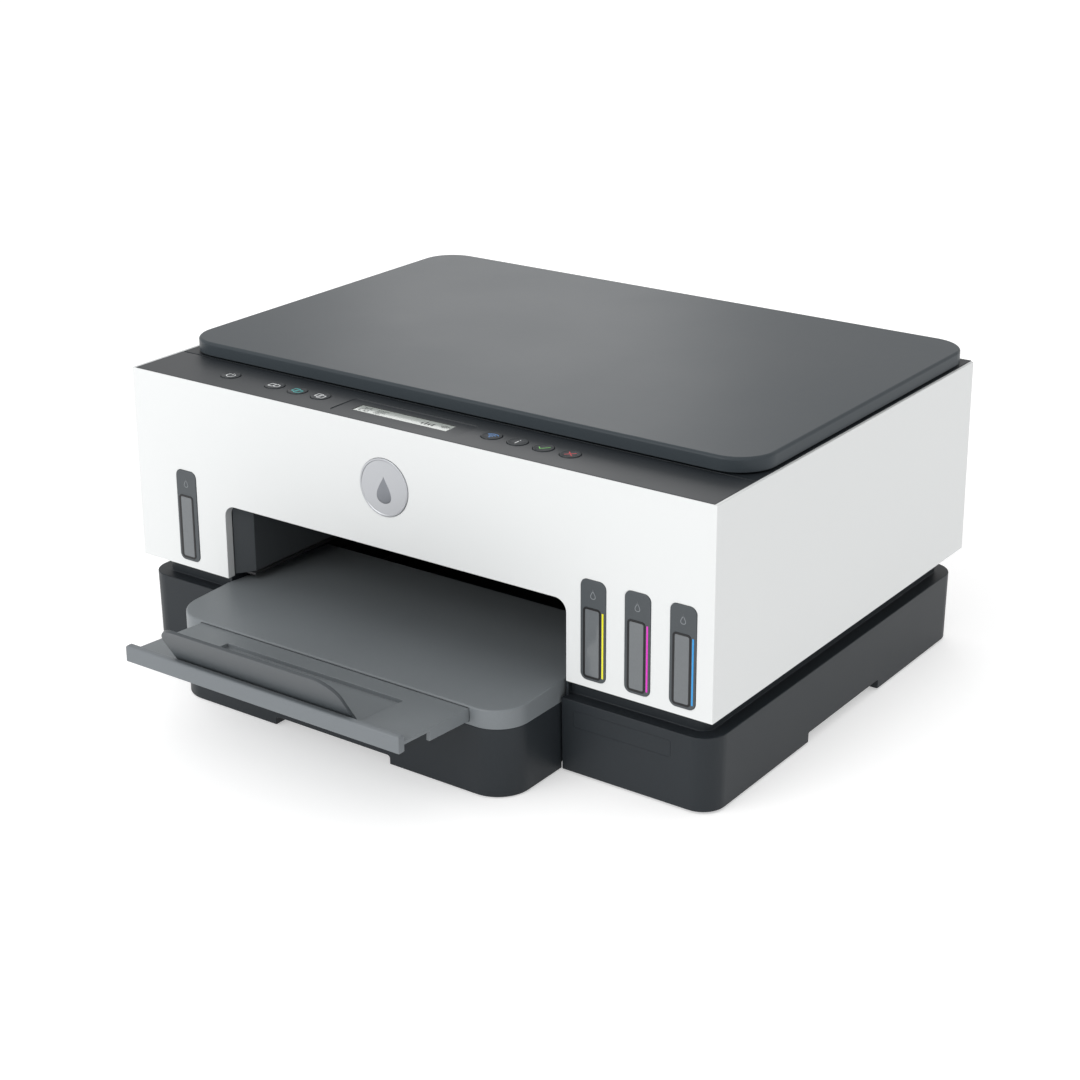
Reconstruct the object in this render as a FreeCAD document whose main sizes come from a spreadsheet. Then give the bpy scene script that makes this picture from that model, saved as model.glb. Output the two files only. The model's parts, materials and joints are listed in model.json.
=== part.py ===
import FreeCAD, Part
import math
import os
from types import SimpleNamespace

import Sketcher
from FreeCAD import Placement, Rotation, Vector

# Inkjet printer with refillable tanks.  Every piece is drawn in one printer frame: x runs to the
# right, y runs from the white front face to the rear and z is the height above the table.
# front_y then carries all of them to the frame whose origin is under the middle of the printer.

SIZES = {
    # whole printer
    "front_y": -101.111, "gap": 0.3, "run_fit": 0.05, "skin": 2.5,
    # base casing
    "base_half": 223.0, "base_front": 2.0, "base_rear": 318.7, "base_low": 1.5, "base_top": 49.0,
    "base_corner": 16.0, "base_draft": 1.0, "base_wall": 4.5, "band_back": 9.0, "band_top": 61.0,
    "floor_top": 3.5, "foot_r": 9.0, "foot_x": 185.0, "foot_front": 38.0, "foot_rear": 288.0,
    "peg_r": 3.0, "notch_front": 117.7, "notch_rear": 209.0, "notch_top": 7.7,
    "inlet_x": -178.0, "inlet_half": 12.0, "inlet_tall": 8.0, "socket_z": 24.0, "usb_x": 166.5,
    "usb_half": 7.5, "usb_tall": 7.0, "socket_front": 300.0, "socket_deep": 18.3,
    "supply_left": -209.0, "supply_right": -158.0, "supply_front": 125.0, "supply_rear": 290.0,
    "supply_low": 6.0, "supply_top": 40.0, "board_left": 126.0, "board_right": 208.0,
    "board_front": 150.0, "board_rear": 292.0, "board_low": 12.0, "board_thick": 1.6,
    "bay_left": -149.5, "bay_right": 118.5, "bay_rear": 262.0, "bay_rib": 2.0,
    # white upper shell
    "shell_half": 223.5, "shell_low": 61.7, "shell_top": 193.2, "shell_rear": 324.3,
    "shell_front": 6.0, "side_wall": 2.2, "mouth_left": -146.1, "mouth_right": 123.4,
    "mouth_top": 113.1, "mouth_corner": 8.0,
    # ink windows
    "black_x": -179.7, "colour_x": 142.6, "ink_pitch": 30.4, "bezel_wide": 17.6,
    "bezel_low": 66.6, "bezel_high": 130.0, "bezel_corner": 4.5, "pane_wide": 10.8,
    "pane_low": 69.0, "pane_high": 112.0, "pane_corner": 5.2, "pane_shift": -0.6,
    "badge_x": -11.3, "badge_z": 153.9, "badge_r": 18.7,
    # control panel
    "panel_half": 221.1, "panel_front": 1.0, "panel_rear": 45.0, "panel_low": 184.0,
    "button_r": 6.4, "button_y": 23.0, "button_high": 193.7,
    "display_left": -49.0, "display_right": 25.0, "display_front": 15.5, "display_rear": 27.0,
    # scanner
    "scan_front": 45.6, "scan_rear": 326.4, "scan_low": 172.0, "glass_left": -163.0,
    "glass_right": 148.0, "glass_front": 72.0, "glass_rear": 291.0, "glass_thick": 3.0,
    "rod_y": 180.0, "rod_z": 178.4, "rod_r": 3.0, "scan_bar_x": -150.0, "scan_bar_wide": 20.0,
    "lid_half": 220.0, "lid_front": 44.7, "lid_rear": 330.0, "lid_low": 194.5, "lid_top": 203.5,
    "lid_corner": 25.0, "lid_edge": 2.0, "lid_pin_x": 140.0, "lid_pin_y": 327.0,
    "lid_pin_z": 197.5, "lid_pin_r": 2.0,
    "hinge_x": 205.0, "hinge_y": 318.0, "hinge_z": 184.0, "hinge_r": 5.0, "hinge_pin_r": 3.0,
    # drawer, output tray and extension
    "drawer_left": -148.0, "drawer_right": 117.0, "drawer_front": -51.0, "drawer_rear": 255.0,
    "drawer_low": 0.8, "drawer_top": 44.6, "drawer_corner": 22.0, "drawer_floor": 9.0,
    "grip_left": -61.5, "grip_right": 29.7, "grip_high": 6.3,
    "tray_edge_z": 56.5, "tray_crest_z": 58.4, "tray_rear": 100.0, "tray_rear_z": 53.0,
    "paper_x": -15.5, "slope": 3.6, "ext_left": -122.0, "ext_right": 90.5, "ext_front": -111.0,
    "ext_front_z": 58.7, "ext_long": 121.0, "ext_thick": 4.8, "ext_rail": 8.0,
    "lip_front": -116.0, "lip_low": 53.0, "lip_top": 63.6, "stop_lean": 57.0,
    "stop_wide": 138.0, "stop_long": 39.0, "stop_thick": 2.0, "stop_corner": 15.0,
    "stop_back": 5.5, "stop_deep": 1.4, "stop_pin_r": 0.9,
    # mechanism
    "deck_low": 61.2, "deck_thick": 1.6, "plate_x": 200.0, "plate_front": 107.0,
    "plate_rear": 300.0, "plate_top": 165.0, "shaft_z": 73.0, "feed_y": 204.0,
    "shaft_r": 4.0, "feed_r": 7.0, "exit_r": 6.0, "feed_teeth": 36, "idler_teeth": 54,
    "pinion_teeth": 12, "pinion_angle": 25.0, "gear_x": -198.0, "gear_wide": 5.0,
    "rail_y": 196.0, "rail_low": 112.0, "rail_high": 160.0, "pulley_x": 185.0, "pulley_y": 208.0,
    "pulley_r": 6.0, "belt_low": 135.0, "belt_wide": 6.0, "carriage_x": 135.0,
    "carriage_half": 30.0, "carriage_front": 128.0, "carriage_low": 86.0, "carriage_high": 150.0,
    # ink tanks
    "tank_wide": 26.0, "tank_front": 12.0, "tank_rear": 104.0, "tank_low": 63.2,
    "tank_high": 134.0, "cap_y": 62.0, "cap_r": 8.0, "cap_thick": 3.0,
    "neck_r": 5.0, "cap_pin_back": 14.0, "cap_pin_up": 4.0, "cap_pin_r": 1.2,
    # rear cover
    "cover_half": 219.6, "cover_front": 317.0, "cover_rear": 321.0, "cover_low": 62.0,
    "cover_high": 166.0, "door_half": 149.6, "door_low": 75.0, "door_high": 149.4,
    "door_pin_y": 319.0, "door_pin_z": 78.0, "door_pin_r": 1.2,
}

doc = FreeCAD.newDocument("inkjet_printer")
sheet = doc.addObject("Spreadsheet::Sheet", "sizes")


class Length:
    """A size that carries both its value and the sheet expression it comes from."""

    def __init__(self, value, text):
        self.value = value
        self.text = text

    def joined(self, sign, other, value):
        return Length(value, f"({self.text} {sign} {text_of(other)})")

    def __add__(self, other):
        return self.joined("+", other, self.value + value_of(other))

    def __sub__(self, other):
        return self.joined("-", other, self.value - value_of(other))

    def __radd__(self, other):
        return Length(value_of(other) + self.value, f"({text_of(other)} + {self.text})")

    def __rsub__(self, other):
        return Length(value_of(other) - self.value, f"({text_of(other)} - {self.text})")

    def __mul__(self, other):
        return self.joined("*", other, self.value * value_of(other))

    def __truediv__(self, other):
        return self.joined("/", other, self.value / value_of(other))

    def __neg__(self):
        return Length(-self.value, f"(0 - {self.text})")


def value_of(size):
    return size.value if isinstance(size, Length) else float(size)


def text_of(size):
    return size.text if isinstance(size, Length) else repr(float(size))


def fill_sheet():
    for row, (alias, value) in enumerate(SIZES.items(), start=1):
        sheet.set(f"A{row}", alias)
        sheet.set(f"B{row}", str(value))
        sheet.setAlias(f"B{row}", alias)
    doc.recompute()
    return {alias: Length(float(value), f"sizes.{alias}") for alias, value in SIZES.items()}


d = SimpleNamespace(**fill_sheet())
nodes = []


# ---------------------------------------------------------------- sketches and features

def new_body(label):
    """Starts one sub-part and carries it to the printer's own origin."""
    body = doc.addObject("PartDesign::Body", label)
    body.Label = label
    body.AllowCompound = True
    body.setExpression("Placement.Base.y", d.front_y.text)
    nodes.append(body)
    return body


def constrain(sketch, kind, geometry, point, size):
    """Holds one coordinate of a sketch point at a size of the sheet."""
    index = sketch.addConstraint(Sketcher.Constraint(kind, -1, 1, geometry, point, value_of(size)))
    sketch.setExpression(f"Constraints[{index}]", text_of(size))


def set_radius(sketch, geometry, radius):
    index = sketch.addConstraint(Sketcher.Constraint("Radius", geometry, value_of(radius)))
    sketch.setExpression(f"Constraints[{index}]", text_of(radius))


def polygon(points):
    """A closed outline of straight sides, each corner held in both directions."""
    def draw(sketch):
        corners = [Vector(value_of(u), value_of(v), 0) for u, v in points]
        lines = []
        for start, end in zip(corners, corners[1:] + corners[:1]):
            lines.append(sketch.addGeometry(Part.LineSegment(start, end), False))
        for line, following in zip(lines, lines[1:] + lines[:1]):
            sketch.addConstraint(Sketcher.Constraint("Coincident", line, 2, following, 1))
        for line, (u, v) in zip(lines, points):
            constrain(sketch, "DistanceX", line, 1, u)
            constrain(sketch, "DistanceY", line, 1, v)
    return draw


def rectangle(u0, v0, u1, v1):
    return polygon([(u0, v0), (u1, v0), (u1, v1), (u0, v1)])


def centred(u, v, half_u, half_v):
    """A rectangle given by its middle and its two half sizes."""
    return rectangle(u - half_u, v - half_v, u + half_u, v + half_v)


def circle(u, v, radius):
    def draw(sketch):
        centre = Vector(value_of(u), value_of(v), 0)
        ring = sketch.addGeometry(Part.Circle(centre, Vector(0, 0, 1), value_of(radius)), False)
        constrain(sketch, "DistanceX", ring, 3, u)
        constrain(sketch, "DistanceY", ring, 3, v)
        set_radius(sketch, ring, radius)
    return draw


def rounded(u0, v0, u1, v1, radius):
    """A rectangle with four equal round corners: four lines and four tangent arcs."""
    def draw(sketch):
        a, b, c, e = value_of(u0), value_of(v0), value_of(u1), value_of(v1)
        r = value_of(radius)
        sides = [((a + r, b), (c - r, b)), ((c, b + r), (c, e - r)),
                 ((c - r, e), (a + r, e)), ((a, e - r), (a, b + r))]
        centres = [(c - r, b + r), (c - r, e - r), (a + r, e - r), (a + r, b + r)]
        lines = []
        arcs = []
        for (start, end), centre, turn in zip(sides, centres, (-90, 0, 90, 180)):
            lines.append(sketch.addGeometry(Part.LineSegment(Vector(*start, 0), Vector(*end, 0))))
            ring = Part.Circle(Vector(*centre, 0), Vector(0, 0, 1), r)
            sweep = (math.radians(turn), math.radians(turn + 90))
            arcs.append(sketch.addGeometry(Part.ArcOfCircle(ring, *sweep)))
        for i, arc in enumerate(arcs):
            sketch.addConstraint(Sketcher.Constraint("Tangent", lines[i], 2, arc, 1))
            sketch.addConstraint(Sketcher.Constraint("Tangent", arc, 2, lines[(i + 1) % 4], 1))
        for line, way in zip(lines, ("Horizontal", "Vertical", "Horizontal", "Vertical")):
            sketch.addConstraint(Sketcher.Constraint(way, line))
        for arc in arcs[1:]:
            sketch.addConstraint(Sketcher.Constraint("Equal", arcs[0], arc))
        set_radius(sketch, arcs[0], radius)
        constrain(sketch, "DistanceY", lines[0], 1, v0)
        constrain(sketch, "DistanceX", lines[1], 1, u1)
        constrain(sketch, "DistanceY", lines[2], 1, v1)
        constrain(sketch, "DistanceX", lines[3], 1, u0)
    return draw


def new_sketch(body, plane, start, outlines):
    """A sketch on the body's own XY, XZ or YZ plane, moved to start along the free axis."""
    sketch = body.newObject("Sketcher::SketchObject", f"{body.Name}_sketch")
    planes = {feature.Role: feature for feature in body.Origin.OriginFeatures}
    sketch.AttachmentSupport = [(planes[f"{plane}_Plane"], "")]
    sketch.MapMode = "FlatFace"
    along = -start if plane == "XZ" else start
    sketch.setExpression("AttachmentOffset.Base.z", text_of(along))
    for draw in outlines:
        draw(sketch)
    return sketch


def add(body, plane, start, length, *outlines):
    """Pads outlines from start towards the positive side of the plane."""
    pad = body.newObject("PartDesign::Pad", f"{body.Name}_pad")
    pad.Profile = new_sketch(body, plane, start, outlines)
    pad.setExpression("Length", text_of(length))
    pad.Reversed = plane == "XZ"
    body.Tip = pad
    return pad


def cut(body, plane, start, length, *outlines):
    """Pockets outlines from start towards the positive side of the plane."""
    pocket = body.newObject("PartDesign::Pocket", f"{body.Name}_pocket")
    pocket.Profile = new_sketch(body, plane, start, outlines)
    pocket.setExpression("Length", text_of(length))
    pocket.Reversed = plane != "XZ"
    body.Tip = pocket
    return pocket


def edges_of(body, wanted):
    """Names of the edges whose middle point and direction pass a test."""
    doc.recompute()
    names = []
    for number, edge in enumerate(body.Tip.Shape.Edges, start=1):
        middle = edge.valueAt((edge.FirstParameter + edge.LastParameter) / 2)
        way = edge.tangentAt((edge.FirstParameter + edge.LastParameter) / 2)
        if wanted(middle, way, edge):
            names.append(f"Edge{number}")
    return names


def soften(body, kind, size, wanted):
    """Fillets or chamfers the edges that pass the test."""
    names = edges_of(body, wanted)
    base = body.Tip
    feature = body.newObject(f"PartDesign::{kind}", f"{body.Name}_{kind.lower()}")
    feature.Base = (base, names)
    feature.setExpression("Radius" if kind == "Fillet" else "Size", text_of(size))
    body.Tip = feature
    return feature


def at_height(z):
    return lambda middle, way, edge: abs(middle.z - value_of(z)) < 0.01 and abs(way.z) < 0.01


def box_node(label, low, high):
    body = new_body(label)
    add(body, "XY", low[2], high[2] - low[2], rectangle(low[0], low[1], high[0], high[1]))
    return body


# ---------------------------------------------------------------- base

def base_case():
    """Drafted tub with a set-back band on top, open in front for the paper drawer."""
    body = new_body("base_case")
    tub = body.newObject("PartDesign::Pad", "base_tub")
    outline = rounded(-d.base_half, d.base_front, d.base_half, d.base_rear, d.base_corner)
    tub.Profile = new_sketch(body, "XY", d.base_top, [outline])
    tub.setExpression("Length", text_of(d.base_top - d.base_low))
    tub.setExpression("TaperAngle", text_of(-d.base_draft))
    tub.Reversed = True
    body.Tip = tub
    inset = d.band_back
    add(body, "XY", d.base_top - 0.5, d.band_top - d.base_top + 0.5,
        rounded(inset - d.base_half, d.base_front + inset, d.base_half - inset,
                d.base_rear - inset, d.base_corner - 8))
    wall = d.base_wall
    cut(body, "XY", d.floor_top, d.base_top - d.skin - d.floor_top,
        rounded(wall - d.base_half, d.base_front + wall + 1, d.base_half - wall,
                d.base_rear - wall - 1, d.base_corner - 6))
    inner = inset + d.skin
    cut(body, "XY", d.base_top - d.skin - 1, d.band_top,
        rounded(inner - d.base_half, d.base_front + inner, d.base_half - inner,
                d.base_rear - inner, d.base_corner - 10))
    cut(body, "XY", -d.gap, d.band_top + 5,
        rectangle(d.bay_left, -d.gap, d.bay_right, d.base_front + inner + 1))
    rib = d.bay_rib
    rib_front = d.base_front + d.base_wall
    add(body, "XY", d.floor_top - 0.5, d.band_top - d.floor_top + 0.5,
        rectangle(d.bay_left - rib, rib_front, d.bay_left, d.bay_rear),
        rectangle(d.bay_right, rib_front, d.bay_right + rib, d.bay_rear))
    add(body, "XY", d.floor_top - 0.5, d.drawer_top - d.floor_top,
        rectangle(d.bay_left - rib, d.bay_rear, d.bay_right + rib, d.bay_rear + rib))
    notch = rectangle(d.notch_front, -d.gap, d.notch_rear, d.notch_top)
    cut(body, "YZ", -d.base_half - 1, 20, notch)
    cut(body, "YZ", d.base_half - 19, 20, notch)
    cut(body, "XY", 0, 10, *[circle(x, y, d.peg_r + 0.1) for x, y in foot_places()])
    cut(body, "XZ", d.base_rear - 20, 30,
        centred(d.inlet_x, d.socket_z, d.inlet_half, d.inlet_tall),
        centred(d.usb_x, d.socket_z, d.usb_half, d.usb_tall))
    return body


def foot_places():
    return [(x, y) for x in (-d.foot_x, d.foot_x) for y in (d.foot_front, d.foot_rear)]


def feet():
    """Four rubber feet, each with a peg and head through the floor."""
    body = new_body("feet")
    add(body, "XY", 0, d.base_low, *[circle(x, y, d.foot_r) for x, y in foot_places()])
    add(body, "XY", d.base_low / 2, d.floor_top - d.base_low / 2 + 0.2,
        *[circle(x, y, d.peg_r) for x, y in foot_places()])
    add(body, "XY", d.floor_top, 2, *[circle(x, y, d.peg_r + 1.5) for x, y in foot_places()])
    return body


def power_inlet():
    """Two-pin mains inlet in the rear of the base."""
    body = new_body("power_inlet")
    x, z, clear = d.inlet_x, d.socket_z, 0.2
    add(body, "XZ", d.socket_front, d.socket_deep,
        centred(x, z, d.inlet_half - clear, d.inlet_tall - clear))
    well = d.socket_front + 6
    cut(body, "XZ", well, d.socket_deep, rounded(x - 8, z - 4.5, x + 8, z + 4.5, 4.4))
    add(body, "XZ", well - 1, 10, circle(x - 4, z, 1.2), circle(x + 4, z, 1.2))
    return body


def usb_port():
    """Square data socket beside the inlet, with its tongue."""
    body = new_body("usb_port")
    x, z, clear = d.usb_x, d.socket_z, 0.2
    add(body, "XZ", d.socket_front, d.socket_deep,
        centred(x, z, d.usb_half - clear, d.usb_tall - clear))
    well = d.socket_front + 6
    cut(body, "XZ", well, d.socket_deep, centred(x, z, 4.5, 5))
    add(body, "XZ", well - 1, 11, rectangle(x - 2.5, z - 1.4, x + 2.5, z + 1.6))
    return body


def power_supply():
    """Closed power module with vent slots along the left of the base."""
    left, right, front, rear = d.supply_left, d.supply_right, d.supply_front, d.supply_rear
    body = box_node("power_supply", (left, front, d.supply_low), (right, rear, d.supply_top))
    soften(body, "Fillet", 1.5, at_height(d.supply_top))
    slots = [rectangle(left + 6, front + y, right - 5, front + y + 3) for y in range(15, 65, 8)]
    cut(body, "XY", d.supply_top - 2, 5, *slots)
    cut(body, "XY", d.supply_low - 1, 2, rectangle(left + 3, front + 5, right - 3, rear - 5))
    return body


def main_board():
    """Logic board on four pillars at the right of the base, with its chips and sockets."""
    body = new_body("main_board")
    left, front = d.board_left, d.board_front
    add(body, "XY", d.board_low, d.board_thick, rectangle(left, front, d.board_right, d.board_rear))
    face = d.board_low + d.board_thick - 0.1
    chips = ((24, 30, 26, 26), (59, 20, 15, 20), (14, 70, 16, 12), (44, 75, 26, 15))
    sockets = ((4, 100, 10, 35), (66, 105, 11, 32))
    for high, blocks in ((3, chips), (8, sockets)):
        add(body, "XY", face, high, *[rectangle(left + x, front + y, left + x + wide, front + y + deep)
                                      for x, y, wide, deep in blocks])
    pillars = [circle(x, y, 3) for x in (left + 5, d.board_right - 5)
               for y in (front + 5, front + 95)]
    add(body, "XY", d.floor_top, d.board_low - d.floor_top + 0.1, *pillars)
    return body


# ---------------------------------------------------------------- rear

def rear_cover():
    """Rear panel with the opening of the access door and the two hinge tabs of the lid unit."""
    body = new_body("rear_cover")
    thick = d.cover_rear - d.cover_front
    add(body, "XZ", d.cover_front, thick,
        rectangle(-d.cover_half, d.cover_low, d.cover_half, d.cover_high))
    add(body, "XZ", d.cover_front - 12, 13,
        rectangle(-d.cover_half, d.cover_low, 2 - d.cover_half, d.cover_high),
        rectangle(d.cover_half - 2, d.cover_low, d.cover_half, d.cover_high))
    cut(body, "XZ", d.cover_front - 1, thick + 2,
        rectangle(-d.door_half - 0.4, d.door_low - 1, d.door_half + 0.4, d.door_high + 0.6))
    for side in (-1, 1):
        inner = d.hinge_x if side > 0 else -d.hinge_x - 3
        tab_low = d.cover_high - 8
        add(body, "YZ", inner, 3, rectangle(d.hinge_y - d.hinge_r, tab_low,
                                            d.hinge_y + d.hinge_r, d.hinge_z))
        add(body, "YZ", inner, 3, circle(d.hinge_y, d.hinge_z, d.hinge_r))
        pin = d.hinge_x + 2 if side > 0 else -d.hinge_x - 9
        add(body, "YZ", pin, 7, circle(d.hinge_y, d.hinge_z, d.hinge_pin_r))
        bore = d.door_half - 1 if side > 0 else -d.door_half - 6
        cut(body, "YZ", bore, 7, circle(d.door_pin_y, d.door_pin_z, d.door_pin_r + d.run_fit))
    vents = [rectangle(x, 152, x + 14, 156) for x in range(-140, 130, 20)]
    cut(body, "XZ", d.cover_front - 1, thick + 2, *vents)
    return body


def rear_door():
    """Access door to the paper turn, hinged along its lower edge, with a finger recess."""
    body = new_body("rear_door")
    add(body, "XZ", d.cover_front + d.gap, d.cover_rear - d.cover_front - d.gap * 2,
        rectangle(-d.door_half, d.door_low, d.door_half, d.door_high))
    for start in (-d.door_half - 4, d.door_half - 1):
        add(body, "YZ", start, 5, circle(d.door_pin_y, d.door_pin_z, d.door_pin_r))
    cut(body, "XZ", d.cover_rear - 2, 5, rounded(-30, 130, 30, 144, 5))
    cut(body, "XZ", d.cover_rear - 1, 5, *[rectangle(-135, z, 135, z + 1.5)
                                           for z in (88, 98, 108, 118)])
    return body


# ---------------------------------------------------------------- upper shell

def ink_centres():
    """Name and window centre of each ink, left to right."""
    colours = [("yellow", 0), ("magenta", 1), ("cyan", 2)]
    return [("black", d.black_x)] + [(name, d.colour_x + d.ink_pitch * i) for name, i in colours]


def bezel_outline(x, grow):
    half = d.bezel_wide / 2 + grow
    return rounded(x - half, d.bezel_low - grow, x + half, d.bezel_high + grow,
                   d.bezel_corner + grow)


def pane_outline(x, grow):
    middle = x + d.pane_shift
    half = d.pane_wide / 2 + grow
    return rounded(middle - half, d.pane_low - grow, middle + half, d.pane_high + grow,
                   d.pane_corner + grow)


def upper_shell():
    """White front wall and two side walls; the control panel and scanner close its top."""
    body = new_body("upper_shell")
    side = d.side_wall
    add(body, "XY", d.shell_low, d.shell_top - d.shell_low,
        polygon([(-d.shell_half, 0), (d.shell_half, 0), (d.shell_half, d.shell_rear),
                 (d.shell_half - side, d.shell_rear), (d.shell_half - side, d.shell_front),
                 (side - d.shell_half, d.shell_front), (side - d.shell_half, d.shell_rear),
                 (-d.shell_half, d.shell_rear)]))
    corner = d.mouth_corner
    cut(body, "XZ", -1, d.shell_front + 2,
        rounded(d.mouth_left, d.shell_low - 30, d.mouth_right, d.mouth_top, corner))
    cut(body, "XZ", -1, d.shell_front + 2, *[bezel_outline(x, 0) for name, x in ink_centres()])
    cut(body, "XZ", -1, 1.8, circle(d.badge_x, d.badge_z, d.badge_r + 0.1))
    cut(body, "XY", d.panel_low - d.gap, 20,
        rectangle(-d.panel_half - 0.2, d.panel_front - 0.2, d.panel_half + 0.2, d.panel_rear))
    soften(body, "Fillet", 0.5, outer_shell_edges)
    return body


def outer_shell_edges(middle, way, edge):
    """Front corner posts and the front, side and top borders of the white shell."""
    upright = abs(way.z) > 0.99 and abs(middle.y) < 0.01 and edge.Length > 100
    border = abs(middle.z - value_of(d.shell_top)) < 0.01 and edge.Length > 200
    outer = abs(middle.y) < 0.01 or abs(abs(middle.x) - value_of(d.shell_half)) < 0.01
    return upright or (border and outer)


def window_bezels():
    """Four frames set in the front wall, each with a tall sight window."""
    body = new_body("window_bezels")
    add(body, "XZ", -0.5, 8.5, *[bezel_outline(x, -0.05) for name, x in ink_centres()])
    cut(body, "XZ", -2, 15, *[pane_outline(x, 0) for name, x in ink_centres()])
    return body


def window_panes():
    """Four clear panes recessed in the bezels."""
    body = new_body("window_panes")
    add(body, "XZ", 2.2, 1.5, *[pane_outline(x, 0) for name, x in ink_centres()])
    return body


def badge():
    """Plain round badge in its shallow seat."""
    body = new_body("badge")
    add(body, "XZ", -0.6, 1.4, circle(d.badge_x, d.badge_z, d.badge_r))
    soften(body, "Fillet", 0.4, lambda middle, way, edge: abs(middle.y + 0.6) < 0.01)
    return body


# ---------------------------------------------------------------- control panel

BUTTON_X = {"power": -156.7, "resume": -118.6, "colour_copy": -99.4, "black_copy": -80.2,
            "wireless": 53.8, "information": 72.8, "confirm": 91.4, "cancel": 110.5}


def control_panel():
    """Dark top panel ahead of the lid, with holes for its buttons and the display."""
    body = new_body("control_panel")
    half = d.panel_half
    add(body, "XY", d.panel_low, d.shell_top - d.panel_low,
        rectangle(-half, d.panel_front, half, d.panel_rear))
    cut(body, "XY", d.panel_low - 1, d.shell_top - d.skin - d.panel_low + 1,
        rectangle(d.skin - half, d.panel_front + d.skin, half - d.skin, d.panel_rear - d.skin))
    holes = [circle(x, d.button_y, d.button_r + d.gap) for x in BUTTON_X.values()]
    cut(body, "XY", d.panel_low, 20, *holes)
    cut(body, "XY", d.panel_low, 20, rectangle(d.display_left, d.display_front,
                                               d.display_right, d.display_rear))
    cut(body, "XY", d.shell_top - 0.5, 5,
        rounded(d.display_left - 11, d.display_front - 8.5, d.display_right + 12,
                d.display_rear + 6, 3))
    soften(body, "Fillet", 0.6, panel_border)
    return body


def panel_border(middle, way, edge):
    long_edge = edge.Length > 200
    return long_edge and abs(middle.z - value_of(d.shell_top)) < 0.01


def display():
    """Segment display in the window of the panel."""
    left, right = d.display_left + 0.1, d.display_right - 0.1
    return box_node("display", (left, d.display_front + 0.1, d.shell_top - 3.2),
                    (right, d.display_rear - 0.1, d.shell_top - 0.8))


def button(name, x):
    """Round key with a flange that keeps it under the panel."""
    body = new_body(f"button_{name}")
    flange_top = d.shell_top - d.skin - 0.5
    add(body, "XY", flange_top - 1.2, 1.2, circle(x, d.button_y, d.button_r + 1.2))
    add(body, "XY", flange_top - 0.6, d.button_high - flange_top + 0.6,
        circle(x, d.button_y, d.button_r))
    soften(body, "Fillet", 0.4, at_height(d.button_high))
    return body


# ---------------------------------------------------------------- scanner and lid

def scan_bed():
    """Pan and bezel of the scanner, with the scan rod and the two hinge eyes at the rear."""
    body = new_body("scan_bed")
    half = d.panel_half
    add(body, "XY", d.scan_low, d.shell_top - d.scan_low,
        rectangle(-half, d.scan_front, half, d.scan_rear))
    cut(body, "XY", d.scan_low + 2, d.shell_top - d.skin - d.scan_low - 2,
        rectangle(d.skin - half, d.scan_front + d.skin, half - d.skin, d.scan_rear - d.skin))
    cut(body, "XY", d.shell_top - d.skin - 1, 10,
        rounded(d.glass_left + 4, d.glass_front + 4, d.glass_right - 4, d.glass_rear - 4, 2))
    add(body, "YZ", 1 - half, (half - 1) * 2, circle(d.rod_y, d.rod_z, d.rod_r))
    eye_high = d.shell_top - d.skin - 0.5
    for side in (-1, 1):
        notch = d.hinge_x - 2 if side > 0 else -d.hinge_x - 12
        cut(body, "YZ", notch, 14, rectangle(d.hinge_y - 9, d.scan_low - 1, d.scan_rear + 1,
                                             eye_high))
        wall = d.hinge_x - 4.5 if side > 0 else -d.hinge_x + 2
        add(body, "YZ", wall, 2.5, rectangle(d.hinge_y - 11, d.scan_low, d.scan_rear,
                                             d.shell_top - 1))
        eye = d.hinge_x + 4 if side > 0 else -d.hinge_x - 12.5
        add(body, "YZ", eye, 8.5, circle(d.hinge_y, d.hinge_z, d.hinge_r + 0.5))
        add(body, "YZ", eye, 8.5, rectangle(d.hinge_y - 3, d.hinge_z, d.hinge_y + 3,
                                            d.shell_top - 1))
        bore = d.hinge_x if side > 0 else -d.hinge_x - 12
        cut(body, "YZ", bore, 12, circle(d.hinge_y, d.hinge_z, d.hinge_pin_r + d.run_fit))
        knuckle = d.lid_pin_x * side - 6
        add(body, "YZ", knuckle, 12, rectangle(d.lid_pin_y - 3, d.shell_top - 3,
                                               d.lid_pin_y + 2.6, d.lid_pin_z))
        add(body, "YZ", knuckle, 12, circle(d.lid_pin_y, d.lid_pin_z, 3.1))
        cut(body, "YZ", knuckle - 1, 14, circle(d.lid_pin_y, d.lid_pin_z,
                                                d.lid_pin_r + d.run_fit))
    return body


def scan_glass():
    top = d.shell_top - d.skin
    return box_node("scan_glass", (d.glass_left, d.glass_front, top - d.glass_thick),
                    (d.glass_right, d.glass_rear, top))


def scan_bar():
    """Reading bar that runs along the rod under the glass."""
    body = new_body("scan_bar")
    right = d.scan_bar_x + d.scan_bar_wide
    add(body, "XY", d.rod_z + 1, 7.2, rectangle(d.scan_bar_x, 82, right, 284))
    add(body, "XY", d.rod_z - 3.8, 6, rectangle(d.scan_bar_x, d.rod_y - 7, right, d.rod_y + 7))
    cut(body, "YZ", d.scan_bar_x - 1, d.scan_bar_wide + 2,
        circle(d.rod_y, d.rod_z, d.rod_r + d.run_fit))
    cut(body, "XY", d.rod_z + 7.4, 5, rectangle(d.scan_bar_x + 8, 88, d.scan_bar_x + 12, 278))
    return body


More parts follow.
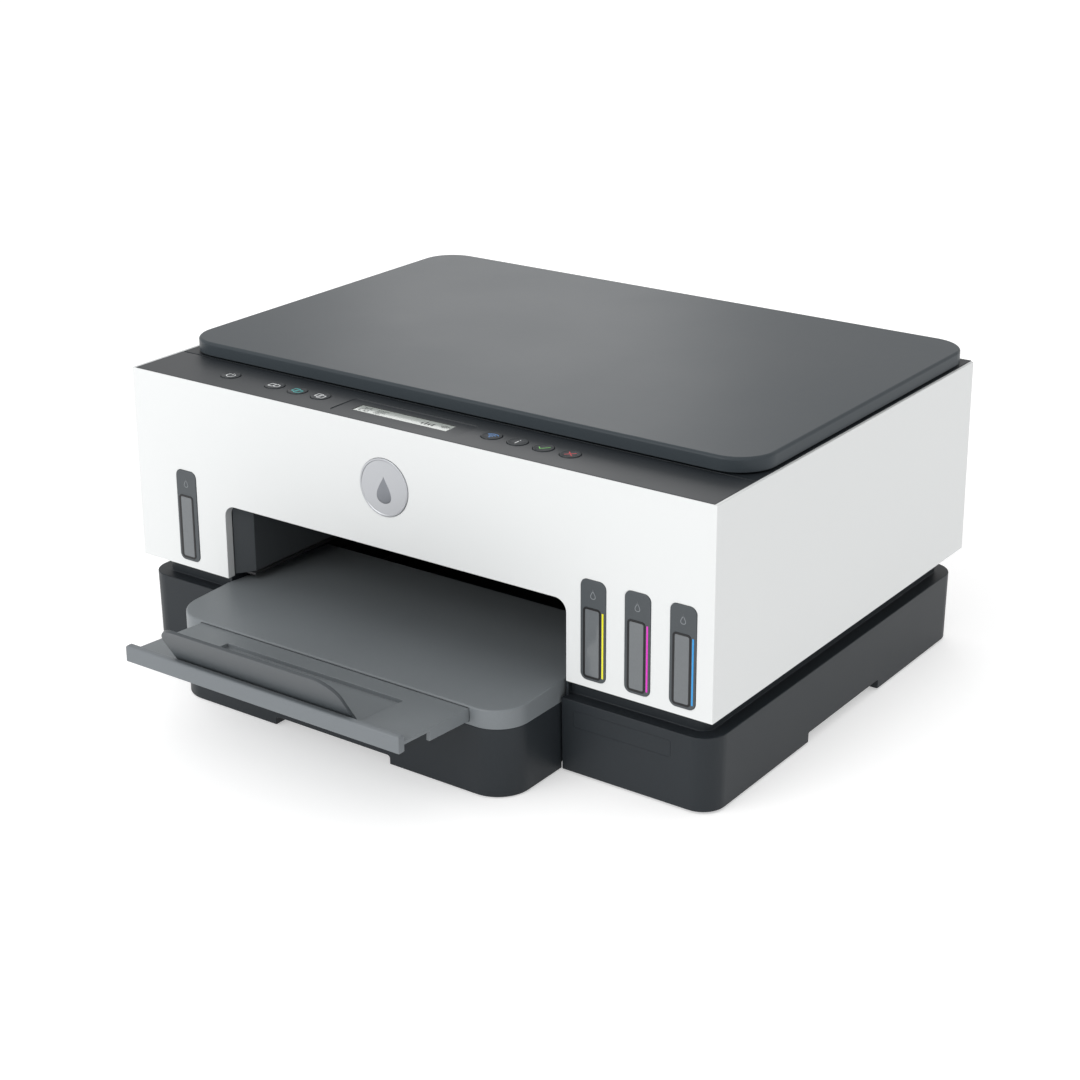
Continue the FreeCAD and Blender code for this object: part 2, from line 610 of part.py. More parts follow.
def lid_cover():
    """Flat lid with a turned-down border and two hinge notches crossed by their pins."""
    body = new_body("lid_cover")
    half = d.lid_half
    add(body, "XY", d.lid_low, d.lid_top - d.lid_low,
        rounded(-half, d.lid_front, half, d.lid_rear, d.lid_corner))
    soften(body, "Fillet", d.lid_edge, at_height(d.lid_top))
    skin = d.skin
    cut(body, "XY", d.lid_low - 1, d.lid_top - d.lid_low - skin + 1,
        rounded(skin - half, d.lid_front + skin, half - skin, d.lid_rear - skin,
                d.lid_corner - skin))
    for side in (-1, 1):
        middle = d.lid_pin_x * side
        add(body, "XY", d.lid_pin_z - 2.4, 4.6,
            rectangle(middle - 14, d.lid_pin_y - 3, middle - 8, d.lid_rear - 1),
            rectangle(middle + 8, d.lid_pin_y - 3, middle + 14, d.lid_rear - 1))
        cut(body, "XY", d.lid_low - 1, d.lid_top - skin - d.lid_low + 1,
            rectangle(middle - 7, d.lid_pin_y - 6, middle + 7, d.lid_rear + 1))
        add(body, "YZ", middle - 12, 24, circle(d.lid_pin_y, d.lid_pin_z, d.lid_pin_r))
    return body


def lid_pad():
    """White backing pad under the lid."""
    top = d.shell_top - d.skin
    return box_node("lid_pad", (d.glass_left + 6, d.glass_front + 6, top + 0.4),
                    (d.glass_right - 6, d.glass_rear - 6, d.lid_top - d.skin))


# ---------------------------------------------------------------- output bay and frame

def bay_liner():
    """Dark liner behind the front opening: slanted frame, side walls and roof."""
    body = new_body("bay_liner")
    left, right = d.mouth_left + 8, d.mouth_right - 8
    low, deep = d.deck_low + d.deck_thick, 104.0
    add(body, "XY", low, d.mouth_top + 2 - low,
        polygon([(d.mouth_left - 2, 7), (d.mouth_left, 7), (left, 18), (left, deep),
                 (left - 2, deep), (left - 2, 19)]),
        polygon([(d.mouth_right + 2, 7), (right + 2, 19), (right + 2, deep), (right, deep),
                 (right, 18), (d.mouth_right, 7)]))
    add(body, "YZ", left - 1, right - left + 2,
        polygon([(18, d.mouth_top - 5), (deep, d.mouth_top - 5), (deep, d.mouth_top - 3),
                 (19, d.mouth_top - 3), (7, d.mouth_top + 2), (7, d.mouth_top)]))
    return body


def main_frame():
    """Steel deck with its two upright side plates, bored for the paper shafts."""
    body = new_body("main_frame")
    top = d.deck_low + d.deck_thick
    add(body, "XY", d.deck_low, d.deck_thick, rectangle(-210, 15, 210, d.plate_rear))
    cut(body, "XY", d.deck_low - 1, d.deck_thick + 2,
        rectangle(d.mouth_left + 10, 14, d.mouth_right - 10, 112),
        rectangle(-125, 208, 95, 290),
        rectangle(d.gear_x - 1, 92, d.gear_x + d.gear_wide + 2, 240))
    for start in (-d.plate_x - 2, d.plate_x):
        add(body, "YZ", start, 2, rectangle(d.plate_front, top - 0.5, d.plate_rear, d.plate_top))
        cut(body, "YZ", start - 1, 4, circle(d.feed_y, d.shaft_z, d.shaft_r + d.run_fit),
            circle(exit_y(), d.shaft_z, d.shaft_r + d.run_fit))
    pinion_y, pinion_z = pinion_place()
    cut(body, "YZ", -d.plate_x - 3, 4, circle(pinion_y, pinion_z, 4))
    add(body, "YZ", -d.plate_x - 1, 8.5, circle(idler_y(), d.shaft_z, 3))
    return body


def idler_y():
    return d.feed_y - (d.feed_teeth + d.idler_teeth) / 2


def exit_y():
    return d.feed_y - (d.feed_teeth + d.idler_teeth)


def pinion_place():
    distance = (SIZES["feed_teeth"] + SIZES["pinion_teeth"]) / 2
    angle = math.radians(SIZES["pinion_angle"])
    return d.feed_y + distance * math.cos(angle), d.shaft_z + distance * math.sin(angle)


# ---------------------------------------------------------------- paper feed

def gear_disc(teeth, phase, bore):
    """Spur gear of module 1 in the plane across x, one tooth centred at the phase angle."""
    pitch_r = teeth / 2
    step = 2 * math.pi / teeth
    flanks = ((-0.30, pitch_r - 1.2), (-0.11, pitch_r + 0.85),
              (0.11, pitch_r + 0.85), (0.30, pitch_r - 1.2))
    points = []
    for tooth in range(teeth):
        for share, radius in flanks:
            angle = phase + (tooth + share) * step
            points.append(Vector(0, radius * math.cos(angle), radius * math.sin(angle)))
    face = Part.Face(Part.makePolygon(points + points[:1]))
    disc = face.extrude(Vector(SIZES["gear_wide"], 0, 0))
    if bore:
        hole = Part.makeCylinder(bore, SIZES["gear_wide"] + 2, Vector(-1, 0, 0), Vector(1, 0, 0))
        disc = disc.cut(hole)
    return disc


def meshing_phase(teeth, phase, direction, other_teeth):
    """Phase of the second gear so that its gap meets the first gear's tooth."""
    offset = (phase - direction) * teeth / (2 * math.pi)
    return direction + math.pi + (0.5 - offset) * 2 * math.pi / other_teeth


def rod(x0, x1, radius):
    return Part.makeCylinder(radius, x1 - x0, Vector(x0, 0, 0), Vector(1, 0, 0))


def turned_part(label, shape, y, z):
    """Puts a shape drawn about the x axis at its place in the printer."""
    part = doc.addObject("Part::Feature", label)
    part.Label = label
    part.Shape = shape.removeSplitter()
    part.Placement = Placement(Vector(0, y + SIZES["front_y"], z), Rotation())
    nodes.append(part)
    return part


def paper_gears():
    """Feed shaft, idler, exit shaft and motor pinion, all in mesh at rest."""
    feed, idler, pinion = SIZES["feed_teeth"], SIZES["idler_teeth"], SIZES["pinion_teeth"]
    x0 = SIZES["gear_x"]
    z = SIZES["shaft_z"]
    side = SIZES["plate_x"] + 3
    turn = math.radians(SIZES["pinion_angle"])
    idler_phase = meshing_phase(feed, 0, math.pi, idler)
    exit_phase = meshing_phase(idler, idler_phase, math.pi, feed)
    pinion_phase = meshing_phase(feed, 0, turn, pinion)
    shift = Vector(x0, 0, 0)

    shaft = rod(-side, side, SIZES["shaft_r"])
    for x in (-95, -40, 10, 65):
        shaft = shaft.fuse(rod(x - 14, x + 14, SIZES["feed_r"]))
    shaft = shaft.fuse(gear_disc(feed, 0, 0).translated(shift))
    turned_part("feed_shaft", shaft, SIZES["feed_y"], z)

    shaft = rod(-side, side, SIZES["shaft_r"])
    for x in (-100, -60, -20, 20, 60):
        shaft = shaft.fuse(rod(x - 6, x + 6, SIZES["exit_r"]))
    shaft = shaft.fuse(gear_disc(feed, exit_phase, 0).translated(shift))
    turned_part("exit_shaft", shaft, value_of(exit_y()), z)

    turned_part("idler_gear", gear_disc(idler, idler_phase, 3.05).translated(shift),
                value_of(idler_y()), z)

    shaft = rod(x0 - 10, x0 + SIZES["gear_wide"], 1.5)
    shaft = shaft.fuse(gear_disc(pinion, pinion_phase, 0).translated(shift))
    pinion_y, pinion_z = pinion_place()
    turned_part("feed_pinion", shaft, value_of(pinion_y), value_of(pinion_z))


def feed_motor():
    """Motor outside the left side plate that turns the pinion."""
    body = new_body("feed_motor")
    y, z = pinion_place()
    add(body, "YZ", -d.plate_x - 18, 15.8, circle(y, z, 15))
    cut(body, "YZ", -d.plate_x - 9, 8, circle(y, z, 1.55))
    return body


def platen():
    """Ribbed plate that carries the paper under the print head."""
    body = new_body("platen")
    left, right = d.paper_x - 110, d.paper_x + 110
    add(body, "XY", 72, 4.5, rectangle(left, 124, right, 192))
    ribs = [rectangle(d.paper_x + x - 0.8, 126, d.paper_x + x + 0.8, 190)
            for x in range(-100, 101, 20)]
    add(body, "XY", 76, 2.3, *ribs)
    legs = [rectangle(x, 126, x + 4, 190) for x in (left, right - 4)]
    add(body, "XY", d.deck_low + d.deck_thick, 10, *legs)
    return body


def service_station():
    """Parking station with the two sealing caps of the print head and its wiper."""
    body = box_node("service_station", (d.carriage_x - 29, 126.0, d.deck_low + d.deck_thick),
                    (d.carriage_x + 29, 190.0, 76.0))
    add(body, "XY", 75.5, 4, rounded(d.carriage_x - 20, 138, d.carriage_x - 3, 178, 3),
        rounded(d.carriage_x + 3, 138, d.carriage_x + 20, 178, 3))
    cut(body, "XY", 77, 5, rounded(d.carriage_x - 18, 140, d.carriage_x - 5, 176, 2),
        rounded(d.carriage_x + 5, 140, d.carriage_x + 18, 176, 2))
    add(body, "XY", 75.5, 6, rectangle(d.carriage_x - 25, 145, d.carriage_x - 24, 172))
    return body


# ---------------------------------------------------------------- print carriage

def carriage_rail():
    """Sheet rail between the side plates, with a motor shelf and an idler shelf."""
    body = new_body("carriage_rail")
    half = d.plate_x
    add(body, "YZ", -half, half * 2, rectangle(d.rail_y, d.rail_low, d.rail_y + 2, d.rail_high))
    shelf_low = d.belt_low - 7
    for x0 in (-half, d.pulley_x - 15):
        add(body, "XY", shelf_low, 2, rectangle(x0, d.rail_y + 1, x0 + 30 - 0.01, d.pulley_y + 14))
    cut(body, "XY", shelf_low - 1, 5, circle(d.pulley_x, d.pulley_y, 3))
    cut(body, "XZ", d.rail_y - 1, 4, rectangle(d.pulley_x - 14, d.rail_low - 1,
                                               d.pulley_x + 14, shelf_low))
    add(body, "XY", shelf_low + 1, 18, circle(-d.pulley_x, d.pulley_y, 2))
    return body


def pulley(label, x):
    """Flanged belt pulley; the drive one has its own shaft, the other runs on a pin."""
    body = new_body(label)
    low = d.belt_low - 2
    rings = ((low, d.pulley_r + 2.2, 1.6), (low + 1, d.pulley_r, 8),
             (d.belt_low + d.belt_wide + 0.4, d.pulley_r + 2.2, 1.6))
    for z, radius, high in rings:
        add(body, "XY", z, high, circle(x, d.pulley_y, radius))
    if label == "motor_pulley":
        add(body, "XY", low - 18, 19, circle(x, d.pulley_y, 1.5))
    else:
        cut(body, "XY", low - 1, 20, circle(x, d.pulley_y, 2 + d.run_fit))
    return body


def carriage_motor():
    body = new_body("carriage_motor")
    add(body, "XY", d.belt_low - 39, 32, circle(d.pulley_x, d.pulley_y, 13))
    cut(body, "XY", d.belt_low - 22, 20, circle(d.pulley_x, d.pulley_y, 1.55))
    return body


def belt_loop(radius):
    """Stadium outline round both pulleys."""
    return rounded(-d.pulley_x - radius, d.pulley_y - radius, d.pulley_x + radius,
                   d.pulley_y + radius, radius - 0.01)


def carriage_belt():
    body = new_body("carriage_belt")
    inner = d.pulley_r + d.run_fit
    add(body, "XY", d.belt_low, d.belt_wide, belt_loop(inner + 1.1))
    cut(body, "XY", d.belt_low - 1, d.belt_wide + 2, belt_loop(inner))
    return body


def carriage():
    """Open box that carries the print head and hooks over the rail."""
    body = new_body("carriage")
    left, right = d.carriage_x - d.carriage_half, d.carriage_x + d.carriage_half
    rear = d.rail_y - 0.5
    add(body, "XY", d.carriage_low, d.carriage_high - d.carriage_low,
        rectangle(left, d.carriage_front, right, rear))
    cut(body, "XY", d.carriage_low - 1, 80,
        rectangle(left + 2.5, d.carriage_front + 2.5, right - 2.5, rear - 4))
    add(body, "YZ", left, d.carriage_half * 2,
        polygon([(rear - 4, 140), (rear, 140), (rear, d.rail_high + 0.5),
                 (d.rail_y + 2.5, d.rail_high + 0.5), (d.rail_y + 2.5, 151),
                 (d.rail_y + 4.5, 151), (d.rail_y + 4.5, d.rail_high + 3),
                 (rear - 4, d.rail_high + 3)]))
    return body


def printhead():
    """Print head with its nozzle block, held inside the carriage."""
    body = new_body("printhead")
    left, right = d.carriage_x - d.carriage_half + 3, d.carriage_x + d.carriage_half - 3
    add(body, "XY", d.carriage_low, 50, rectangle(left, d.carriage_front + 3, right, 191))
    add(body, "XY", 83, 4, rounded(left + 7, 140, right - 7, 176, 2))
    ports = [circle(d.carriage_x + x, 150, 3) for x in (-18, -6, 6, 18)]
    add(body, "XY", 135, 9, *ports)
    return body


# ---------------------------------------------------------------- ink tanks

def ink_tank(name, x):
    """Full ink tank with a filler neck and the two ears of its cap on top."""
    body = new_body(f"ink_tank_{name}")
    half = d.tank_wide / 2
    add(body, "XY", d.tank_low, d.tank_high - d.tank_low,
        rounded(x - half, d.tank_front, x + half, d.tank_rear, 3))
    add(body, "XY", d.tank_high - 1, 6, circle(x, d.cap_y, d.neck_r))
    cut(body, "XY", d.tank_high - 4, 20, circle(x, d.cap_y, d.neck_r - 1.6))
    pin_y, pin_z, ear = d.cap_y + d.cap_pin_back, d.tank_high + d.cap_pin_up, 3
    for start in (x - 11, x + 8):
        add(body, "YZ", start, ear, rectangle(pin_y - ear, d.tank_high - 1, pin_y + ear, pin_z))
        add(body, "YZ", start, ear, circle(pin_y, pin_z, ear))
        cut(body, "YZ", start - 1, ear + 2, circle(pin_y, pin_z, d.cap_pin_r + d.run_fit))
    return body


def tank_cap(name, x):
    """Flip cap over the filler neck, turning on a pin behind it."""
    body = new_body(f"tank_cap_{name}")
    low, thick = d.tank_high + 5 + d.gap, d.cap_thick
    pin_y, pin_z, half = d.cap_y + d.cap_pin_back, d.tank_high + d.cap_pin_up, 6
    add(body, "XY", low, thick, circle(x, d.cap_y, d.cap_r))
    add(body, "XY", low, thick, rectangle(x - half, d.cap_y, x + half, pin_y - 1))
    add(body, "XY", low, thick, rectangle(x - 3, d.cap_y - d.cap_r - 3, x + 3, d.cap_y))
    add(body, "YZ", x - 7.6, 15.2, circle(pin_y, pin_z, 2.6))
    add(body, "YZ", x - half, half * 2, rectangle(pin_y - 4, pin_z, pin_y, low + thick))
    add(body, "YZ", x - 10.5, 21, circle(pin_y, pin_z, d.cap_pin_r))
    return body


# ---------------------------------------------------------------- drawer and trays

def paper_drawer():
    """Paper drawer: deep front, shallow rear floor, and a finger notch under the front."""
    body = new_body("paper_drawer")
    left, right = d.drawer_left, d.drawer_right
    front, rear = d.drawer_front, d.drawer_rear
    add(body, "XY", d.drawer_low, d.drawer_top - d.drawer_low,
        rounded(left, front, right, rear, d.drawer_corner))
    wall = 3.0
    cut(body, "XY", d.drawer_floor, 60,
        rounded(left + wall, front + wall + 0.5, right - wall, rear - wall, d.drawer_corner - wall))
    cut(body, "XY", -1, 6, rectangle(left - 1, 5, right + 1, rear + 1))
    cut(body, "XY", -1, d.grip_high + 1, rectangle(d.grip_left, front - 1, d.grip_right,
                                                   front + 22))
    soften(body, "Fillet", 2, grip_corners)
    return body


def grip_corners(middle, way, edge):
    """Upper corners of the finger notch."""
    along_y = abs(way.y) > 0.99
    high = abs(middle.z - value_of(d.grip_high)) < 0.01
    return along_y and high


def output_tray():
    """Dished cover of the drawer that catches the prints and holds the extension."""
    body = new_body("output_tray")
    left, right = d.drawer_left, d.drawer_right
    low = d.drawer_top
    add(body, "YZ", left, right - left,
        polygon([(d.drawer_front, low), (d.tray_rear, low), (d.tray_rear, d.tray_rear_z),
                 (0, d.tray_crest_z), (d.drawer_front, d.tray_edge_z)]))
    soften(body, "Fillet", d.drawer_corner, front_posts)
    soften(body, "Fillet", 1.2, tray_rim)
    wall = 3.5
    cut(body, "XY", low - 1, 6.5, rounded(left + wall, d.drawer_front + wall, right - wall,
                                          d.tray_rear - wall, d.drawer_corner - wall))
    top = slope_z(d.drawer_front - 5) + d.gap
    end = d.drawer_front + 130
    end_top = slope_z(end) + d.gap
    depth = d.ext_rail + d.gap * 2
    cut(body, "YZ", d.ext_left - d.gap, d.ext_right - d.ext_left + d.gap * 2,
        polygon([(d.drawer_front - 5, top - depth), (end, end_top - depth), (end, end_top),
                 (d.drawer_front - 5, top)]))
    return body


def front_posts(middle, way, edge):
    return abs(way.z) > 0.99 and abs(middle.y - value_of(d.drawer_front)) < 0.01


def tray_rim(middle, way, edge):
    """Front and corner border of the tray's top."""
    high = middle.z > value_of(d.tray_edge_z) - 1
    return high and middle.y < value_of(d.drawer_front) + 21 and edge.Length > 5


def slope_z(y):
    """Height of the extension's top face at y."""
    return d.ext_front_z - (y - d.ext_front) * math.tan(math.radians(SIZES["slope"]))


def slide_placement():
    """Frame of the extension: origin on its front top edge, y back down the slope."""
    base = Vector(0, SIZES["ext_front"] + SIZES["front_y"], SIZES["ext_front_z"])
    return Placement(base, Rotation(Vector(1, 0, 0), -SIZES["slope"]))


def tray_extension():
    """Sliding plate with side rails and a flush seat for the paper stop."""
    body = new_body("tray_extension")
    body.setExpression("Placement.Base.y", None)
    left, right = d.ext_left, d.ext_right
    seat_half = d.stop_wide / 2 + 0.6
    add(body, "XY", -2.2, 2.2, rectangle(left, 0.3, right, d.ext_long))
    add(body, "XY", -d.ext_thick, d.ext_thick - 1,
        rectangle(d.paper_x - seat_half - 8, 2, d.paper_x + seat_half + 8, 54))
    add(body, "XY", -d.ext_rail, d.ext_rail - 1,
        rectangle(left, 24, left + 2.5, d.ext_long), rectangle(right - 2.5, 24, right, d.ext_long))
    cut(body, "XY", -d.stop_deep * 2, 5,
        rectangle(d.paper_x - seat_half, d.stop_back - 2.8, d.paper_x + seat_half,
                  d.stop_back + d.stop_long + 0.8))
    cut(body, "YZ", d.paper_x - seat_half - 4, seat_half * 2 + 8,
        circle(d.stop_back, -d.stop_deep, d.stop_pin_r + d.run_fit))
    body.Placement = slide_placement()
    return body


def tray_lip():
    """Upright lip across the front of the extension."""
    body = new_body("tray_lip")
    add(body, "YZ", d.ext_left, d.ext_right - d.ext_left + 1,
        rectangle(d.lip_front, d.lip_low, d.ext_front, d.lip_top))
    soften(body, "Fillet", 1.6, at_height(d.lip_top))
    return body


def paper_stop():
    """Flap that stands up and leans forward to stop the sheets."""
    body = new_body("paper_stop")
    body.setExpression("Placement.Base.y", None)
    half = d.stop_wide / 2
    add(body, "XY", -d.stop_thick / 2, d.stop_thick,
        rectangle(d.paper_x - half, 0, d.paper_x + half, d.stop_long))
    soften(body, "Fillet", d.stop_corner, stop_corners)
    add(body, "YZ", d.paper_x - half, d.stop_wide, circle(0, 0, d.stop_thick / 2))
    add(body, "YZ", d.paper_x - half - 3, d.stop_wide + 6, circle(0, 0, d.stop_pin_r))
    hinge = slide_placement().multVec(Vector(0, SIZES["stop_back"], -SIZES["stop_deep"]))
    body.Placement = Placement(hinge, Rotation(Vector(1, 0, 0), 180 - SIZES["stop_lean"]))
    return body


def stop_corners(middle, way, edge):
    return abs(way.z) > 0.99 and middle.y > value_of(d.stop_long) - 0.01


def width_guide(name, side):
    """Side guide for the paper stack, with a foot on the drawer floor."""
    body = new_body(f"width_guide_{name}")
    edge = d.paper_x + 106 * side
    outer = edge + 2.5 * side
    foot = edge - 15 * side
    low = d.drawer_floor + d.gap
    add(body, "XY", low, 28, span(edge, outer, 60, 195))
    add(body, "XY", low, 1.6, span(foot, outer, 90, 150))
    return body


def span(x0, x1, y0, y1):
    """Rectangle between two x values given in either order."""
    low, high = (x0, x1) if value_of(x0) < value_of(x1) else (x1, x0)
    return rectangle(low, y0, high, y1)


def length_guide():
    """Front stop of the paper stack."""
    body = new_body("length_guide")
    low = d.drawer_floor + d.gap
    front = d.drawer_front + 4.2
    add(body, "XY", low, 27, rectangle(d.paper_x - 25, front, d.paper_x + 25, front + 2.5))
    add(body, "XY", low, 1.6, rectangle(d.paper_x - 15, front, d.paper_x + 15, front + 30))
    return body


# ---------------------------------------------------------------- fasteners

def case_screws():
    """Countersunk screws that hold the rear cover's flanges to the main frame's side plates."""
    body = new_body("case_screws")
    places = [(x, y) for x in (-206, 206) for y in (130, 280)]
    top = d.deck_low + d.deck_thick
    add(body, "XY", top, 2, *[circle(x, y, 3) for x, y in places])
    cut(body, "XY", top + 1, 5, *[circle(x, y, 1.1) for x, y in places])
    return body


def build_all():
    base_case()
    feet()
    power_inlet()
    usb_port()
    power_supply()
    main_board()
    rear_cover()
    rear_door()
    upper_shell()
    window_bezels()
    window_panes()
    badge()
    control_panel()
    display()
    for name, x in BUTTON_X.items():
        button(name, x)
    scan_bed()
    scan_glass()
    scan_bar()
    lid_cover()
    lid_pad()
    bay_liner()
    main_frame()
    paper_gears()
    feed_motor()
    platen()
    service_station()
    carriage_rail()
    pulley("motor_pulley", d.pulley_x)
    pulley("idler_pulley", -d.pulley_x)
    carriage_motor()
    carriage_belt()
    carriage()
    printhead()
    for name, x in ink_centres():
        ink_tank(name, x)
        tank_cap(name, x)
    paper_drawer()
    output_tray()
    tray_extension()
    tray_lip()
    paper_stop()
    width_guide("left", -1)
    width_guide("right", 1)
    length_guide()
    case_screws()


def check_document():
    """Stops on any failed object or bad shape, so that nothing broken is written."""
    doc.recompute()
    faults = []
    for item in doc.Objects:
        if "Invalid" in item.State or "Error" in item.State:
            faults.append(f"{item.Name} failed: {item.State}")
    for node in nodes:
        if node.Shape.isNull() or not node.Shape.isValid() or not node.Shape.Solids:
            faults.append(f"{node.Label} has no valid solid")
    if faults:
        raise RuntimeError("; ".join(faults))


def write_parts():
    os.makedirs("parts", exist_ok=True)
    for node in nodes:
        node.Shape.exportStep(f"parts/{node.Label}.step")
    print(len(nodes), "parts written")


build_all()
check_document()
write_parts()
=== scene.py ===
import json
import math

import bmesh
import bpy
import numpy as np
from mathutils import Euler, Matrix, Vector

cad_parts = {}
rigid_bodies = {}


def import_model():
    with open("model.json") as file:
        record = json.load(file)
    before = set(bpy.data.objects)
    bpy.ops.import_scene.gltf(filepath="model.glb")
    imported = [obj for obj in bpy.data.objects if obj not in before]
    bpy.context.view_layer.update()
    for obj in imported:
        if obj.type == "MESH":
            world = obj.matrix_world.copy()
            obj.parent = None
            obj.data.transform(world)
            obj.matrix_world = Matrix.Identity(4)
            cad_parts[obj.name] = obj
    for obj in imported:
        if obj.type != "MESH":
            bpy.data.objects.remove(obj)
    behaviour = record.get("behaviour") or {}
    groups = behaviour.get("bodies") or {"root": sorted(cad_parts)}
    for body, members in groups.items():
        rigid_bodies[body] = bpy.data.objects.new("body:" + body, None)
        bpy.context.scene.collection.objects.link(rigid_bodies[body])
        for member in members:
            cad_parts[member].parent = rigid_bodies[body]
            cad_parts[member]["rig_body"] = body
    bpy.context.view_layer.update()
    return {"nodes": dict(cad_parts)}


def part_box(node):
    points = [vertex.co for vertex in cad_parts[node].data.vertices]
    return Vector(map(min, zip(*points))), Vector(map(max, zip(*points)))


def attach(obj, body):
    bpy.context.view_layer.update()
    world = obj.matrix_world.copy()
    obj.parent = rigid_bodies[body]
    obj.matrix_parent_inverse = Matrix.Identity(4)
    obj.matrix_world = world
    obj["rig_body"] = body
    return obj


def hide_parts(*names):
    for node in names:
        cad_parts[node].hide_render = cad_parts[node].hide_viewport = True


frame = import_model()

mm = 0.001
nearAxis = 0.05 * mm  # where turned profiles start and end, so that each closes in a tiny cap
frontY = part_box("upper_shell")[0].y  # plane of the white front face
inks = ("black", "yellow", "magenta", "cyan")
print("stage: frame loaded")


def middle(node):
    low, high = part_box(node)
    return (low + high) / 2


# surfaces, all worked out as whole arrays of points in metres

# rectangle with round corners, counter-clockwise: each corner is a quarter circle
def roundedRing(u0, v0, u1, v1, radius, steps=8):
    turn = np.linspace(0, math.pi / 2, steps)
    corners = [(u1 - radius, v0 + radius, -math.pi / 2), (u1 - radius, v1 - radius, 0),
               (u0 + radius, v1 - radius, math.pi / 2), (u0 + radius, v0 + radius, math.pi)]
    return np.concatenate([np.stack([u + radius * np.cos(turn + start),
                                     v + radius * np.sin(turn + start)], 1)
                           for u, v, start in corners])


# part of a circle, or a whole one, as a line of points
def arcLine(u, v, radius, start=0, end=360, steps=25):
    turn = np.radians(np.linspace(start, end, steps))
    return np.stack([u + radius * np.cos(turn), v + radius * np.sin(turn)], 1)


# drop outline: half width sin(t) * sin(t/2)^sharp, height cos(t), so the tip at t = 0 is on top
def dropLine(u, v, size, sharp=1.7, fullness=0.95, steps=48):
    turn = np.linspace(0, 2 * math.pi, steps, endpoint=False)
    wide = np.sin(turn) * np.abs(np.sin(turn / 2)) ** sharp
    return np.stack([u - size * fullness * wide, v + size * np.cos(turn)], 1)


# skin over a grid of points: rows of equal rings, each joined to the next
def skin(grid, capped=True, closedStack=False):
    grid = np.asarray(grid, float)
    rows, count = grid.shape[:2]
    row = np.arange(rows if closedStack else rows - 1)[:, None]
    col = np.arange(count)[None, :]
    above, after = (row + 1) % rows, (col + 1) % count
    quads = np.stack([row * count + col, row * count + after,
                      above * count + after, above * count + col], 2).reshape(-1, 4).tolist()
    if capped and not closedStack:
        quads += [list(range(count))[::-1], list(range((rows - 1) * count, rows * count))]
    return grid.reshape(-1, 3), quads


# puts several skins in one mesh, merges doubled points and turns every face outwards
def meshOf(name, skins, merge=1e-7):
    offsets = np.cumsum([0] + [len(points) for points, faces in skins])
    points = np.concatenate([points for points, faces in skins])
    faces = [[corner + int(offset) for corner in face]
             for offset, made in zip(offsets, skins) for face in made[1]]
    mesh = bpy.data.meshes.new(name)
    mesh.from_pydata(points.tolist(), [], faces)
    tidyMesh(mesh, merge)
    return mesh


def tidyMesh(mesh, distance, flat=0.0):
    work = bmesh.new()
    work.from_mesh(mesh)
    bmesh.ops.remove_doubles(work, verts=work.verts, dist=distance)
    if flat:
        bmesh.ops.dissolve_limit(work, angle_limit=math.radians(flat), verts=work.verts,
                                 edges=work.edges)
    bmesh.ops.recalc_face_normals(work, faces=work.faces)
    work.to_mesh(mesh)
    work.free()
    mesh.update()


# carries a rectangular profile along a flat line; each corner is mitred by the sum of its two
# normals over one plus their dot product; lay turns (u, v, height) into a place
def stroke(line, width, low, high, lay, closed=False):
    line = np.asarray(line, float)
    run = np.roll(line, -1, 0) - line if closed else np.diff(line, axis=0)
    side = np.stack([-run[:, 1], run[:, 0]], 1) / np.linalg.norm(run, axis=1)[:, None]
    before = np.roll(side, 1, 0) if closed else np.concatenate([side[:1], side])
    after = side if closed else np.concatenate([side, side[-1:]])
    mitre = (before + after) / (1 + (before * after).sum(1))[:, None] * width / 2
    left, right = line + mitre, line - mitre
    corners = [(right, low), (left, low), (left, high), (right, high)]
    grid = np.stack([lay(flat[:, 0], flat[:, 1], np.full(len(line), float(height)))
                     for flat, height in corners], 1)
    return skin(grid, closedStack=closed)


# turns a profile of (radius, height) pairs about an axis through a place
def turned(profile, place, axis="z", steps=64):
    radius, height = np.asarray(profile, float).T[:, :, None]
    turn = np.linspace(0, 2 * math.pi, steps, endpoint=False)[None, :]
    across, up, along = radius * np.cos(turn), radius * np.sin(turn), height + 0 * turn
    order = {"z": (across, up, along), "x": (along, across, up), "y": (across, along, up)}[axis]
    return skin(np.stack(order, 2) + np.array(place))


# a flat plate with a soft front border: rings of the outline step in as they step up
def plate(outline, layers, lay):
    return skin([lay(*outline(inset).T, np.full(len(outline(inset)), float(height)))
                 for inset, height in layers])


# lays of flat drawings: on a level top and on the upright front
def onTop(z):
    return lambda u, v, h: np.stack([u, v, z + h], 1)


def onFront(y):
    return lambda u, v, h: np.stack([u, y - h, v], 1)


def addPiece(name, mesh, body, material, smooth=True):
    piece = bpy.data.objects.new(name, mesh)
    bpy.context.scene.collection.objects.link(piece)
    mesh.materials.clear()
    mesh.materials.append(material)
    mesh.polygons.foreach_set("use_smooth", np.full(len(mesh.polygons), smooth))
    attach(piece, body)
    return piece


def roundEdges(piece, width, segments=3, angle=35):
    bevel = piece.modifiers.new("softEdges", "BEVEL")
    bevel.width = width
    bevel.segments = segments
    bevel.limit_method = "ANGLE"
    bevel.angle_limit = math.radians(angle)
    bevel.use_clamp_overlap = False
    bevel.miter_outer = "MITER_ARC"
    normals = piece.modifiers.new("evenNormals", "WEIGHTED_NORMAL")
    normals.keep_sharp = True
    normals.weight = 80


# a copy of a designed node with its triangles merged, its flats joined and its edges rounded
def softened(node, material, width, merge=2e-6, flat=0.6):
    source = frame["nodes"][node]
    mesh = source.data.copy()
    tidyMesh(mesh, merge, flat)
    piece = addPiece(node + "_finished", mesh, source["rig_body"], material)
    roundEdges(piece, width)
    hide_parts(node)


